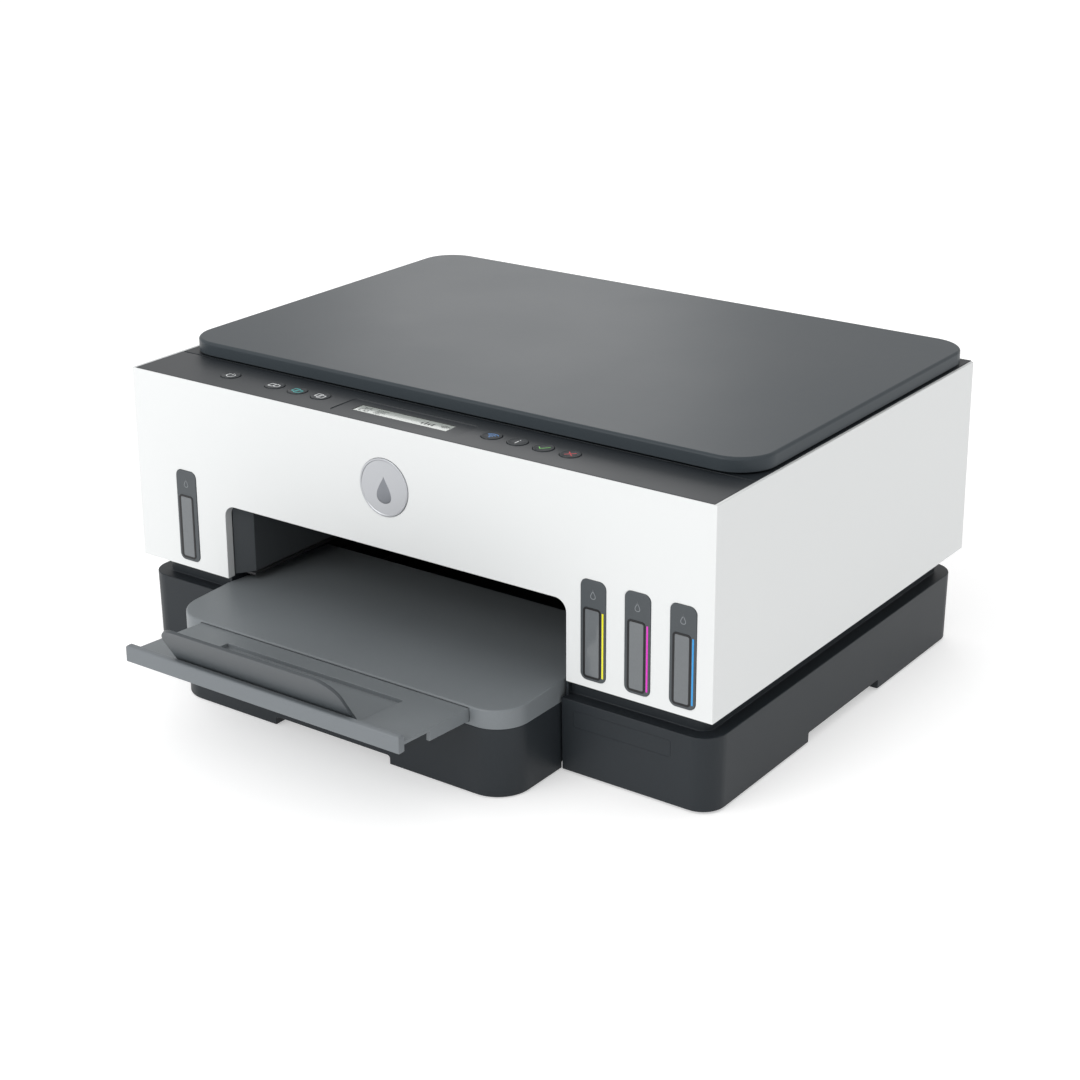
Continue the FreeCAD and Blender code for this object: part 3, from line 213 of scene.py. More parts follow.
def socket(group, name, kind, way, value=None):
    made = group.interface.new_socket(name=name, in_out=way, socket_type=f"NodeSocket{kind}")
    if value is not None:
        made.default_value = value


def mathNode(nodes, links, operation, *values):
    made = nodes.new("ShaderNodeMath")
    made.operation = operation
    for entry, value in zip(made.inputs, values):
        if isinstance(value, (int, float)):
            entry.default_value = value
        else:
            links.new(value, entry)
    return made.outputs[0]


surface = {"cloudScale": 11.0, "dustScale": 160.0, "dustColour": (0.42, 0.41, 0.39, 1),
           "dustRough": 0.5, "coatRough": 0.08, "metalShine": 0.5, "bump": 0.3,
           "glossVary": 0.2}


# moulded or drawn surface: fine noise for the bump, slow cloudiness for tone and gloss, and a
# little settled dust where the face looks up; Stretch draws the noise out into brushed lines
def buildSurfaceGroup():
    group = bpy.data.node_groups.new("workedSurface", "ShaderNodeTree")
    socket(group, "Colour", "Color", "INPUT", (0.5, 0.5, 0.5, 1))
    for name, value in (("Scale", 2500.0), ("Shade", 0.06), ("Rough", 0.45), ("Vary", 0.06),
                        ("Dust", 0.0)):
        socket(group, name, "Float", "INPUT", value)
    socket(group, "Stretch", "Vector", "INPUT", (1.0, 1.0, 1.0))
    socket(group, "Colour", "Color", "OUTPUT")
    socket(group, "Roughness", "Float", "OUTPUT")
    socket(group, "Height", "Float", "OUTPUT")
    nodes, links = group.nodes, group.links
    entry, leave = nodes.new("NodeGroupInput"), nodes.new("NodeGroupOutput")
    place = nodes.new("ShaderNodeTexCoord")
    drawn = nodes.new("ShaderNodeVectorMath")
    drawn.operation = "MULTIPLY"
    links.new(place.outputs["Object"], drawn.inputs[0])
    links.new(entry.outputs["Stretch"], drawn.inputs[1])

    def noise(vector, scale, detail):
        made = nodes.new("ShaderNodeTexNoise")
        made.inputs["Detail"].default_value = detail
        links.new(vector, made.inputs["Vector"])
        if isinstance(scale, float):
            made.inputs["Scale"].default_value = scale
        else:
            links.new(scale, made.inputs["Scale"])
        return made.outputs["Fac"]

    fine = noise(drawn.outputs[0], entry.outputs["Scale"], 2.0)
    cloud = noise(place.outputs["Object"], surface["cloudScale"], 4.0)
    links.new(fine, leave.inputs["Height"])
    wave = mathNode(nodes, links, "SUBTRACT", cloud, 0.5)
    speck = mathNode(nodes, links, "SUBTRACT", fine, 0.5)
    both = mathNode(nodes, links, "ADD", wave, speck)
    share = mathNode(nodes, links, "MULTIPLY_ADD", both, entry.outputs["Shade"], 1.0)
    tone = nodes.new("ShaderNodeVectorMath")
    tone.operation = "SCALE"
    links.new(entry.outputs["Colour"], tone.inputs[0])
    links.new(share, tone.inputs["Scale"])
    facing = nodes.new("ShaderNodeNewGeometry")
    apart = nodes.new("ShaderNodeSeparateXYZ")
    links.new(facing.outputs["Normal"], apart.inputs[0])
    up = mathNode(nodes, links, "MAXIMUM", apart.outputs["Z"], 0.0)
    patches = noise(place.outputs["Object"], surface["dustScale"], 6.0)
    settled = mathNode(nodes, links, "MULTIPLY", up, patches)
    dust = mathNode(nodes, links, "MULTIPLY", settled, entry.outputs["Dust"])
    mix = nodes.new("ShaderNodeMix")
    mix.data_type = "RGBA"
    mix.inputs["B"].default_value = surface["dustColour"]
    links.new(dust, mix.inputs["Factor"])
    links.new(tone.outputs[0], mix.inputs["A"])
    links.new(mix.outputs["Result"], leave.inputs["Colour"])
    gloss = mathNode(nodes, links, "MULTIPLY_ADD", wave, entry.outputs["Vary"],
                     entry.outputs["Rough"])
    dulled = mathNode(nodes, links, "MULTIPLY_ADD", dust, surface["dustRough"], gloss)
    links.new(dulled, leave.inputs["Roughness"])
    return group


surfaceGroup = buildSurfaceGroup()

# finish: linear colour, roughness, bump depth in metres, grain scale, and what differs from plain
finishes = {
    "whiteShell": ((0.675, 0.688, 0.688), 0.36, 8e-6, 1900, dict(shade=0.015, coat=0.08)),
    "charcoal": ((0.0185, 0.0225, 0.0265), 0.44, 4e-5, 2200, dict(shade=0.26, shine=0.22)),
    "panelCharcoal": ((0.019, 0.0230, 0.0270), 0.44, 3e-5, 2600, dict(shade=0.25)),
    "lidGrey": ((0.042, 0.0515, 0.0590), 0.36, 4e-5, 2000,
                dict(shade=0.14, dust=0.02, shine=0.14)),
    "trayGrey": ((0.165, 0.181, 0.192), 0.42, 4e-5, 2200, dict(shade=0.18, dust=0.03)),
    "lipGrey": ((0.150, 0.165, 0.177), 0.42, 3e-5, 2400, dict(shade=0.12)),
    "bezelGrey": ((0.057, 0.065, 0.071), 0.38, 2e-5, 2600, dict(shade=0.15)),
    "blackPlastic": ((0.014, 0.015, 0.017), 0.50, 4e-5, 2000, dict(shade=0.30)),
    "linerPlastic": ((0.078, 0.086, 0.093), 0.52, 4e-5, 2000, dict(shade=0.30)),
    "rubber": ((0.013, 0.013, 0.013), 0.75, 6e-5, 1500, dict(shade=0.40, dust=0.10)),
    "foam": ((0.80, 0.80, 0.78), 0.85, 1.5e-4, 900, dict(shade=0.06)),
    "paneSmoke": ((0.120, 0.130, 0.138), 0.14, 4e-6, 900, dict(shade=0.12, coat=0.6)),
    # near-black finish: the rings at the edges of the ink panes, painted shade of their gaps, and
    # the display's dark surround
    "darkRimAndGapShade": ((0.008, 0.008, 0.009), 0.35, 1e-5, 2000, dict(shade=0.20)),
    "silver": ((0.44, 0.45, 0.47), 0.30, 1e-5, 900,
               dict(shade=0.08, metallic=0.7, stretch=(1, 1, 18))),
    "silverDeep": ((0.20, 0.21, 0.23), 0.34, 1e-5, 2200, dict(shade=0.08, metallic=0.6)),
    "steel": ((0.46, 0.47, 0.48), 0.34, 2e-5, 600,
              dict(shade=0.14, metallic=1.0, stretch=(1, 16, 16))),
    "frameSteel": ((0.10, 0.10, 0.105), 0.42, 2e-5, 500,
                   dict(shade=0.20, metallic=0.9, stretch=(1, 12, 1))),
    "darkSteel": ((0.22, 0.22, 0.23), 0.30, 1e-5, 900,
                  dict(shade=0.15, metallic=1.0, stretch=(20, 1, 1))),
    "acetal": ((0.74, 0.72, 0.64), 0.40, 2e-5, 2000, dict(shade=0.08)),
    "board": ((0.010, 0.110, 0.045), 0.35, 3e-5, 900, dict(shade=0.35, coat=0.3)),
    "screen": ((0.34, 0.37, 0.345), 0.22, 6e-6, 3500, dict(shade=0.14, coat=0.5)),
    "segment": ((0.018, 0.021, 0.020), 0.40, 4e-6, 3000, dict(shade=0.20)),
    "iconWhite": ((0.76, 0.78, 0.79), 0.45, 6e-6, 4000, dict(shade=0.06)),
    "iconTeal": ((0.060, 0.440, 0.430), 0.45, 6e-6, 4000, dict(shade=0.06)),
    "iconBlue": ((0.090, 0.250, 0.560), 0.45, 6e-6, 4000, dict(shade=0.06)),
    "iconGreen": ((0.160, 0.560, 0.100), 0.45, 6e-6, 4000, dict(shade=0.06)),
    "iconRed": ((0.620, 0.045, 0.055), 0.45, 6e-6, 4000, dict(shade=0.06)),
    "iconGrey": ((0.210, 0.225, 0.240), 0.45, 6e-6, 4000, dict(shade=0.06)),
    "tankShell": ((0.20, 0.21, 0.22), 0.20, 6e-6, 700, dict(shade=0.10, alpha=0.38)),
    "scanGlass": ((0.55, 0.62, 0.60), 0.04, 2e-6, 400, dict(shade=0.02, alpha=0.28)),
    "blackInk": ((0.010, 0.010, 0.012), 0.16, 4e-6, 300, dict(shade=0.10, coat=0.4)),
    "yellowInk": ((0.760, 0.720, 0.020), 0.16, 4e-6, 300, dict(shade=0.10, coat=0.4)),
    "magentaInk": ((0.640, 0.020, 0.480), 0.16, 4e-6, 300, dict(shade=0.10, coat=0.4)),
    "cyanInk": ((0.020, 0.270, 0.620), 0.16, 4e-6, 300, dict(shade=0.10, coat=0.4)),
    "blackCap": ((0.014, 0.014, 0.016), 0.55, 4e-5, 1500, dict(shade=0.25)),
    "yellowCap": ((0.700, 0.540, 0.012), 0.55, 4e-5, 1500, dict(shade=0.15)),
    "magentaCap": ((0.520, 0.015, 0.340), 0.55, 4e-5, 1500, dict(shade=0.15)),
    "cyanCap": ((0.020, 0.220, 0.500), 0.55, 4e-5, 1500, dict(shade=0.15)),
}


def makeFinish(name, colour, rough, depth, scale, shade=0.08, dust=0.0, coat=0.0, metallic=0.0,
               alpha=1.0, shine=0.38, stretch=(1, 1, 1)):
    material = bpy.data.materials.new(name)
    material.use_nodes = True
    material.diffuse_color = (*colour, 1)
    nodes, links = material.node_tree.nodes, material.node_tree.links
    shader = nodes["Principled BSDF"]
    constants = {"Metallic": metallic, "Coat Weight": coat, "Alpha": alpha,
                 "Coat Roughness": surface["coatRough"],
                 "Specular IOR Level": surface["metalShine"] if metallic else shine}
    for entry, value in constants.items():
        shader.inputs[entry].default_value = value
    worked = nodes.new("ShaderNodeGroup")
    worked.node_tree = surfaceGroup
    values = {"Colour": (*colour, 1), "Scale": scale, "Shade": shade, "Rough": rough,
              "Vary": rough * surface["glossVary"], "Dust": dust, "Stretch": stretch}
    for entry, value in values.items():
        worked.inputs[entry].default_value = value
    bump = nodes.new("ShaderNodeBump")
    bump.inputs["Strength"].default_value = surface["bump"]
    bump.inputs["Distance"].default_value = depth
    links.new(worked.outputs["Colour"], shader.inputs["Base Color"])
    links.new(worked.outputs["Roughness"], shader.inputs["Roughness"])
    links.new(worked.outputs["Height"], bump.inputs["Height"])
    links.new(bump.outputs["Normal"], shader.inputs["Normal"])
    return material


finish = {name: makeFinish(name, *values[:4], **values[4]) for name, values in finishes.items()}
print("stage: materials built")


# camera, floor and lights
camera = {
    # metres from the middle of the white front's foot, then degrees
    "right": 0.7820, "ahead": 0.9429, "high": 0.6092, "yaw": 35.66, "pitch": 18.878,
    "roll": -0.261, "lens": 71.927, "shiftDown": 0.1, "sensor": 36.0, "far": 50.0,
}


def placeCamera():
    data = bpy.data.cameras.new("studioCamera")
    data.sensor_width = camera["sensor"]
    data.lens = camera["lens"]
    data.shift_y = -camera["shiftDown"]
    data.clip_end = camera["far"]
    eye = bpy.data.objects.new("studioCamera", data)
    turn = Euler((math.radians(90 - camera["pitch"]), 0, math.radians(camera["yaw"]))).to_matrix()
    roll = Matrix.Rotation(math.radians(camera["roll"]), 3, "Z")
    place = Vector((camera["right"], frontY - camera["ahead"], camera["high"]))
    eye.matrix_world = Matrix.Translation(place) @ (turn @ roll).to_4x4()
    bpy.context.scene.collection.objects.link(eye)
    bpy.context.scene.camera = eye


studio = {
    "floorHalf": 12.0, "floorTone": 0.78, "floorRough": 0.9, "floorGlow": 0.42,
    "world": 0.86,
    "lamps": {
        # place, aim, size in metres, watts
        "keySoft": ((-0.7, -2.2, 1.2), (0.0, 0.0, 0.1), 1.7, 27),
        "lidSoft": ((-1.25, 1.75, 1.0), (0.0, 0.1, 0.2), 0.6, 2.4),
    },
}


def placeStudio():
    world = bpy.data.worlds.new("paleStudio")
    world.use_nodes = True
    sky = world.node_tree.nodes["Background"]
    sky.inputs["Color"].default_value = (1, 1, 1, 1)
    sky.inputs["Strength"].default_value = studio["world"]
    bpy.context.scene.world = world
    half = studio["floorHalf"]
    mesh = bpy.data.meshes.new("floor")
    mesh.from_pydata([(-half, -half, 0), (half, -half, 0), (half, half, 0), (-half, half, 0)],
                     [], [(0, 1, 2, 3)])
    floor = bpy.data.objects.new("floor", mesh)
    bpy.context.scene.collection.objects.link(floor)
    pale = bpy.data.materials.new("paleFloor")
    pale.use_nodes = True
    shader = pale.node_tree.nodes["Principled BSDF"]
    shader.inputs["Base Color"].default_value = (*[studio["floorTone"]] * 3, 1)
    shader.inputs["Roughness"].default_value = studio["floorRough"]
    shader.inputs["Emission Color"].default_value = (1, 1, 1, 1)
    shader.inputs["Emission Strength"].default_value = studio["floorGlow"]
    mesh.materials.append(pale)
    for name, (place, aim, size, watts) in studio["lamps"].items():
        data = bpy.data.lights.new(name, "AREA")
        data.size = size
        data.energy = watts
        lamp = bpy.data.objects.new(name, data)
        lamp.location = place
        lamp.rotation_euler = (Vector(aim) - Vector(place)).to_track_quat("-Z", "Y").to_euler()
        bpy.context.scene.collection.objects.link(lamp)
    view = bpy.context.scene.view_settings
    view.view_transform = "Standard"
    view.look = "None"


placeCamera()
placeStudio()
print("stage: camera and studio placed")


# casings and mechanism, as softened copies of the designed nodes
casings = {
    # finish: its nodes, each with its edge softening in mm
    "whiteShell": {"upper_shell": 0.30},
    "panelCharcoal": {"control_panel": 0.25},
    "charcoal": {"scan_bed": 0.35, "base_case": 0.6, "rear_cover": 0.4, "rear_door": 0.4,
                 "paper_drawer": 0.6},
    "lidGrey": {"lid_cover": 0.35},
    "foam": {"lid_pad": 0.8},
    "trayGrey": {"output_tray": 0.18, "tray_extension": 0.3},
    "lipGrey": {"tray_lip": 0.4},
    "bezelGrey": {"window_bezels": 0.35, "paper_stop": 0.3},
    "linerPlastic": {"bay_liner": 0.3, "printhead": 0.4},
    "blackPlastic": {"width_guide_left": 0.4, "width_guide_right": 0.4, "length_guide": 0.4,
                     "platen": 0.25, "service_station": 0.3, "carriage": 0.5,
                     "power_supply": 0.4, "power_inlet": 0.2, "scan_bar": 0.3},
    "frameSteel": {"main_frame": 0.2},
    "steel": {"carriage_rail": 0.2, "feed_motor": 0.4, "carriage_motor": 0.4},
    "darkSteel": {"feed_shaft": 0.15, "exit_shaft": 0.15, "usb_port": 0.2},
    "acetal": {"idler_gear": 0.1, "feed_pinion": 0.1, "motor_pulley": 0.2, "idler_pulley": 0.2},
    "board": {"main_board": 0.15},
    "rubber": {"feet": 0.3},
    "scanGlass": {"scan_glass": 0.15},
    "tankShell": {f"ink_tank_{ink}": 0.4 for ink in inks},
}
capSoftness = 0.4 * mm
for look, group in casings.items():
    for node, softness in group.items():
        softened(node, finish[look], softness * mm)
for ink in inks:
    softened(f"tank_cap_{ink}", finish[f"{ink}Cap"], capSoftness)
print("stage: casings softened")


# keys: a turned cap with a flat face, a soft rim and the flange that holds it in
key = {
    "radius": 6.4 * mm, "flange": 7.6 * mm, "flangeThick": 1.2 * mm, "flangeDrop": 3.5 * mm,
    "faceDrop": 0.18 * mm, "markWidth": 0.6 * mm, "markThick": 0.05 * mm, "markScale": 1.55,
    # the rim, in mm in from the side and down from the top
    "rim": ((0.88, 0.18), (0.66, 0.02), (0.385, 0.0), (0.12, 0.10), (0.0, 0.35)),
}
markSink = 0.02 * mm  # how far printed marks reach into the face that they lie on


def keySkin(place, top):
    radius, flange, face = key["radius"], key["flange"], top - key["faceDrop"]
    flangeTop = top - key["flangeDrop"]
    flangeLow = flangeTop - key["flangeThick"]
    rim = [(radius - inwards * mm, top - down * mm) for inwards, down in key["rim"]]
    profile = [(nearAxis, face), *rim, (radius, flangeTop), (flange, flangeTop),
               (flange, flangeLow), (nearAxis, flangeLow)]
    return turned(profile, (place.x, place.y, 0))


def ring(u, v, radius, steps):
    return arcLine(u, v, radius, 0, 360, steps + 1)[:-1]


def sheetMark(x, y, wide, high):
    return roundedRing(x, y, x + wide, y + high, 0.35, 4), True


twoSheets = [sheetMark(-2.5, -1.0, 2.6, 2.9), sheetMark(-0.6, -2.1, 2.9, 3.0)]
waves = [(arcLine(0, -1.8, radius, 48, 132, 12), False) for radius in (1.4, 2.6, 3.8)]
# each mark is a finish and a list of (line in mm about the key's middle, whether it closes)
marks = {
    "power": ("iconWhite", [(arcLine(0, 0, 1.9, 125, 415, 30), False),
                            ([(0, 0.6), (0, 2.3)], False)]),
    "resume": ("iconWhite", [sheetMark(-2.7, -1.4, 2.4, 2.8),
                             (arcLine(1.1, 0, 1.3, -150, 120, 18), False),
                             ([(0.3, 1.9), (0.5, 1.1), (-0.3, 0.9)], False)]),
    "colour_copy": ("iconTeal", twoSheets),
    "black_copy": ("iconWhite", twoSheets),
    "wireless": ("iconBlue", [*waves, (ring(0, -1.6, 0.25, 10), True)]),
    "information": ("iconWhite", [([(0, -1.9), (0, 0.7)], False), ([(0, 1.5), (0, 2.1)], False)]),
    "confirm": ("iconGreen", [([(-2.0, 0.0), (-0.5, -1.6), (2.1, 1.7)], False)]),
    "cancel": ("iconRed", [([(-1.7, -1.7), (1.7, 1.7)], False),
                           ([(-1.7, 1.7), (1.7, -1.7)], False)]),
}


def makeKeys():
    for name, (look, lines) in marks.items():
        node = f"button_{name}"
        place, top = middle(node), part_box(node)[1].z
        body = frame["nodes"][node]["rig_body"]
        cap = addPiece(f"key_{name}", meshOf(node, [keySkin(place, top)]), body,
                       finish["panelCharcoal"])
        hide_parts(node)
        lay = onTop(top - key["faceDrop"])
        centre = np.array([place.x, place.y])
        skins = [stroke(np.asarray(line) * mm * key["markScale"] + centre, key["markWidth"],
                        -markSink, key["markThick"], lay, closed) for line, closed in lines]
        addPiece(f"mark_{name}", meshOf(f"mark_{name}", skins), body,
                 finish[look], smooth=False)


makeKeys()
print("stage: keys and their marks made")


# display: softened plate, dark surround and generic segments
screen = {
    "border": 0.7 * mm, "borderDeep": 0.2 * mm, "borderHigh": 0.25 * mm, "corner": 0.6 * mm,
    "foot": 0.3 * mm, "edge": 0.2 * mm, "markThick": 0.04 * mm, "line": 0.60 * mm,
    # figures and text lines from the left, in mm: (height, length) of each text line
    "digit": 3.1 * mm, "figureAt": 5, "figurePitch": 4, "textAt": 15,
    "text": ((2.6, 9), (0.9, 7), (-0.9, 8), (-2.6, 5)),
    # signal waves and ink level bars from the right, in mm and in shares of a full bar
    "wavesAt": 5.5, "wavesLow": 2.2, "waves": (1.6, 3.0, 4.4),
    "level": 4.2 * mm, "levelWide": 1.4 * mm, "levelAt": 14, "levelPitch": 2.6,
    "levels": (0.4, 0.25, 0.5, 0.1),
}


# seven-segment figure: its lit strokes, each shortened by the gap at both ends
def figure(u, v, size, lit, gapShare=0.12, narrow=0.8):
    half, gap = size / 2, size * gapShare
    ends = {"top": ((0, size * 2), (size, size * 2)), "mid": ((0, size), (size, size)),
            "low": ((0, 0), (size, 0)), "upLeft": ((0, size), (0, size * 2)),
            "upRight": ((size, size), (size, size * 2)), "downLeft": ((0, 0), (0, size)),
            "downRight": ((size, 0), (size, size))}
    lines = np.array([ends[name] for name in lit], float)
    way = lines[:, 1] - lines[:, 0]
    way = way / np.linalg.norm(way, axis=1)[:, None] * gap
    lines = np.stack([lines[:, 0] + way, lines[:, 1] - way], 1)
    return [line * (narrow, 1.0) + (u - half, v - size) for line in lines]


def makeDisplay():
    low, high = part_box("display")
    body = frame["nodes"]["display"]["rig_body"]

    def outline(inset):
        return roundedRing(low.x + inset, low.y + inset, high.x - inset, high.y - inset,
                           screen["corner"], 5)

    thick, foot, edge = high.z - low.z, screen["foot"], screen["edge"]
    layers = [(foot, 0), (0, foot), (0, thick - edge), (edge, thick)]
    glass = plate(outline, layers, onTop(low.z))
    cover = addPiece("display_plate", meshOf("display_plate", [glass]), body,
                     finish["screen"], smooth=False)
    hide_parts("display")
    surround = stroke(outline(-0.05 * mm), screen["border"], -screen["borderDeep"],
                      screen["borderHigh"], onTop(high.z), True)
    addPiece("display_surround", meshOf("display_surround", [surround]), body,
             finish["darkRimAndGapShade"], smooth=False)
    left, mid, size = low.x, (low.y + high.y) / 2, screen["digit"]
    figures = [("top", "mid", "low", "upRight", "downLeft"),
               ("top", "low", "upLeft", "upRight", "downLeft", "downRight")]
    lines = [line for i, lit in enumerate(figures)
             for line in figure(left + (screen["figureAt"] + screen["figurePitch"] * i) * mm,
                                mid, size, lit)]
    textX = left + screen["textAt"] * mm
    lines += [np.array([(textX, mid + y * mm), (textX + wide * mm, mid + y * mm)])
              for y, wide in screen["text"]]
    lines += [arcLine(high.x - screen["wavesAt"] * mm, mid - screen["wavesLow"] * mm,
                      radius * mm, 45, 135, 10) for radius in screen["waves"]]
    levels = [(high.x - (screen["levelAt"] + screen["levelPitch"] * i) * mm, share)
              for i, share in enumerate(screen["levels"])]
    bars = [np.array([(x, mid - screen["level"] / 2), (x, mid + screen["level"] * share)])
            for x, share in levels]
    skins = [stroke(line, width, -markSink, screen["markThick"], onTop(high.z))
             for group, width in ((lines, screen["line"]), (bars, screen["levelWide"]))
             for line in group]
    addPiece("display_segments", meshOf("display_segments", skins), body,
             finish["segment"], smooth=False)


makeDisplay()
print("stage: display made")


# ink windows: crowned panes, near-black rings round them as painted shade of the gap at each
# pane's edge, colour lines (the black tank's one, on the left of its window, is painted shade of
# the recess's side wall) and drop marks
window = {
    "shift": -0.6 * mm, "wide": 10.8 * mm, "low": 69.0 * mm, "high": 112.0 * mm,
    "corner": 1.7 * mm, "proud": 0.12 * mm,
    # crown of a pane, in mm in from its side and down from its face
    "crown": ((0.1, 0.30), (0.3, 0.12), (0.8, 0.03), (2.2, 0.0)),
    # near-black rings round each pane, painted shade of the gap at its edge: width, depth into
    # the face, height proud
    "darkRimAndGapShade": 1.3 * mm, "gapShadeDeep": 1.5 * mm, "gapShadeHigh": 0.22 * mm,
    "lineOut": 6.75 * mm, "lineWide": 1.15 * mm, "lineEnd": 1.0 * mm, "lineDeep": 0.3 * mm,
    "lineHigh": 0.12 * mm, "dropHigh": 121.0 * mm, "drop": 2.5 * mm, "dropLine": 0.4 * mm,
    "dropDeep": 0.1 * mm, "dropRise": 0.06 * mm,
}


def makeWindows():
    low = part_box("window_bezels")[0]
    face, paneBack = low.y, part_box("window_panes")[1].y
    crown = [(inset * mm, -down * mm) for inset, down in window["crown"]]
    layers = [(crown[0][0], face - paneBack), *crown]
    body = frame["nodes"]["window_panes"]["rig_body"]
    panes, gapShades, drops = [], [], []
    for ink in inks:
        x = middle(f"ink_tank_{ink}").x
        centre, half = x + window["shift"], window["wide"] / 2

        def outline(inset):
            return roundedRing(centre - half + inset, window["low"] + inset,
                               centre + half - inset, window["high"] - inset,
                               window["corner"] - inset * 0.5)

        panes.append(plate(outline, layers, onFront(face - window["proud"])))
        # near-black ring round the pane: painted shade of the gap between the pane and its bezel
        gapShades.append(stroke(outline(-0.1 * mm), window["darkRimAndGapShade"], -window["gapShadeDeep"],
                              window["gapShadeHigh"], onFront(face), True))
        # the black tank's line goes on the left of its window as painted shade: a dark strip
        # standing in for the shaded side wall of the window's recess; the yellow, magenta and
        # cyan lines are colour bars on the right
        lineX = x + window["lineOut"] * (-1 if ink == "black" else 1)
        ends = np.array([(lineX, window["low"] + window["lineEnd"]),
                         (lineX, window["high"] - window["lineEnd"])])
        bar = stroke(ends, window["lineWide"], -window["lineDeep"], window["lineHigh"],
                     onFront(face))
        addPiece(f"ink_line_and_painted_shade_{ink}", meshOf(f"ink_line_and_painted_shade_{ink}", [bar]), body,
                 finish[f"{ink}Ink"], smooth=False)
        drops.append(stroke(dropLine(x, window["dropHigh"], window["drop"]),
                            window["dropLine"], -window["dropDeep"], window["dropRise"],
                            onFront(face), True))
    paneSet = addPiece("ink_panes", meshOf("ink_panes", panes), body,
                       finish["paneSmoke"], smooth=False)
    roundEdges(paneSet, 0.1 * mm, 2, 20)
    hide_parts("window_panes")
    # the rings of painted gap shade round the panes
    addPiece("ink_gap_shades", meshOf("ink_gap_shades", gapShades), body,
             finish["darkRimAndGapShade"], smooth=False)
    addPiece("ink_drop_marks", meshOf("ink_drop_marks", drops), body,
             finish["iconGrey"], smooth=False)


makeWindows()
print("stage: ink windows made")


# badge: turned disc with a raised rim and a plain pillow-shaped drop
badge = {
    "rim": 1.1 * mm, "slope": 0.3 * mm, "sink": 0.25 * mm, "hub": 0.1 * mm,
    # outer edge, in mm in from the side and back from the face
    "edge": ((0.0, 0.3), (0.12, 0.08), (0.35, 0.0)),
    "drop": 9.0 * mm, "dropDown": 1.5 * mm, "relief": 0.35 * mm, "bury": 0.02 * mm,
    "fullness": 2.4, "rows": 14,
}


def makeBadge():
    low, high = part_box("badge")
    place, radius = middle("badge"), (high.x - low.x) / 2
    body = frame["nodes"]["badge"]["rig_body"]
    face, floor = low.y, low.y + badge["sink"]
    rim = radius - badge["rim"]
    edge = [(radius - inwards * mm, face + back * mm) for inwards, back in badge["edge"]]
    profile = [(badge["hub"], high.y), (radius, high.y), *edge, (rim, face),
               (rim - badge["slope"], floor), (badge["hub"], floor)]
    metal = turned(profile, (place.x, 0, place.z), "y", 128)
    disc = addPiece("badge_disc", meshOf("badge_disc", [metal]), body,
                    finish["silver"])
    roundEdges(disc, 0.05 * mm, 2, 30)
    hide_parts("badge")
    # drop pillow: the outline shrinks by share while its height grows as 1 - share^fullness
    shares = np.linspace(1, 0.02, badge["rows"])[:, None]
    across, up = dropLine(0, 0, badge["drop"], steps=96).T[:, None, :]
    lift = badge["relief"] * (1 - shares ** badge["fullness"])
    grid = np.stack([place.x + shares * across, floor + badge["bury"] - lift + 0 * across,
                     place.z + shares * up - badge["dropDown"]], 2)
    addPiece("badge_drop", meshOf("badge_drop", [skin(grid)]), body,
             finish["silverDeep"])


makeBadge()
print("stage: badge made")


# blank name plate on the drafted front of the base
namePlate = {"left": 127.0 * mm, "right": 194.5 * mm, "low": 31.8 * mm, "high": 42.5 * mm,
             "corner": 1.2 * mm, "line": 0.4 * mm, "sink": 0.3 * mm, "proud": 0.12 * mm,
             "baseTop": 49.0 * mm, "draft": 1.0}


def makeNamePlate():
    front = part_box("base_case")[0].y
    slope = math.tan(math.radians(namePlate["draft"]))

    def onDraft(u, v, h):
        return np.stack([u, front + (namePlate["baseTop"] - v) * slope - h, v], 1)

    outline = roundedRing(namePlate["left"], namePlate["low"], namePlate["right"],
                          namePlate["high"], namePlate["corner"])
    border = stroke(outline, namePlate["line"], -namePlate["sink"], namePlate["proud"],
                    onDraft, True)
    addPiece("name_plate_border", meshOf("name_plate_border", [border]), "chassis",
             finish["charcoal"], smooth=False)


makeNamePlate()
print("stage: name plate made")


# inside: ink, rollers, belt, pins and screws
tank = {"wall": 1.6 * mm, "corner": 2.2 * mm, "neck": 14.0 * mm, "foot": 0.6 * mm,
        # the ink's edge, in mm in from the wall and down from its level
        "edge": ((0.0, 0.0), (0.5, 0.35), (1.2, 0.4)),
        "fill": {"black": 0.80, "yellow": 0.66, "magenta": 0.74, "cyan": 0.58}}


# ink: stacked outlines of the tank's inside, up to its own level, with a slightly raised edge
def makeInk():
    for ink, fill in tank["fill"].items():
        low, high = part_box(f"ink_tank_{ink}")
        wall, foot = tank["wall"], tank["foot"]
        level = low.z + wall + (high.z - low.z - tank["neck"]) * fill

        def outline(inset):
            grow = wall + inset
            return roundedRing(low.x + grow, low.y + grow, high.x - grow, high.y - grow,
                               tank["corner"], 5)

        layers = [(foot, low.z + wall), (0, low.z + wall + foot)]
        layers += [(inset * mm, level - down * mm) for inset, down in tank["edge"]]
        addPiece(f"ink_{ink}", meshOf(f"ink_{ink}", [plate(outline, layers, onTop(0))]),
                 "chassis", finish[f"{ink}Ink"], smooth=False)


rollers = {
    # shaft node: (roller middles, half length, radius), all in mm
    "feed_shaft": ((-95, -40, 10, 65), 14.0, 7.0),
    "exit_shaft": ((-100, -60, -20, 20, 60), 6.0, 6.0),
}
sleeve = {"thick": 0.14, "rib": 0.12, "sink": 0.5, "stepsPerMm": 8}


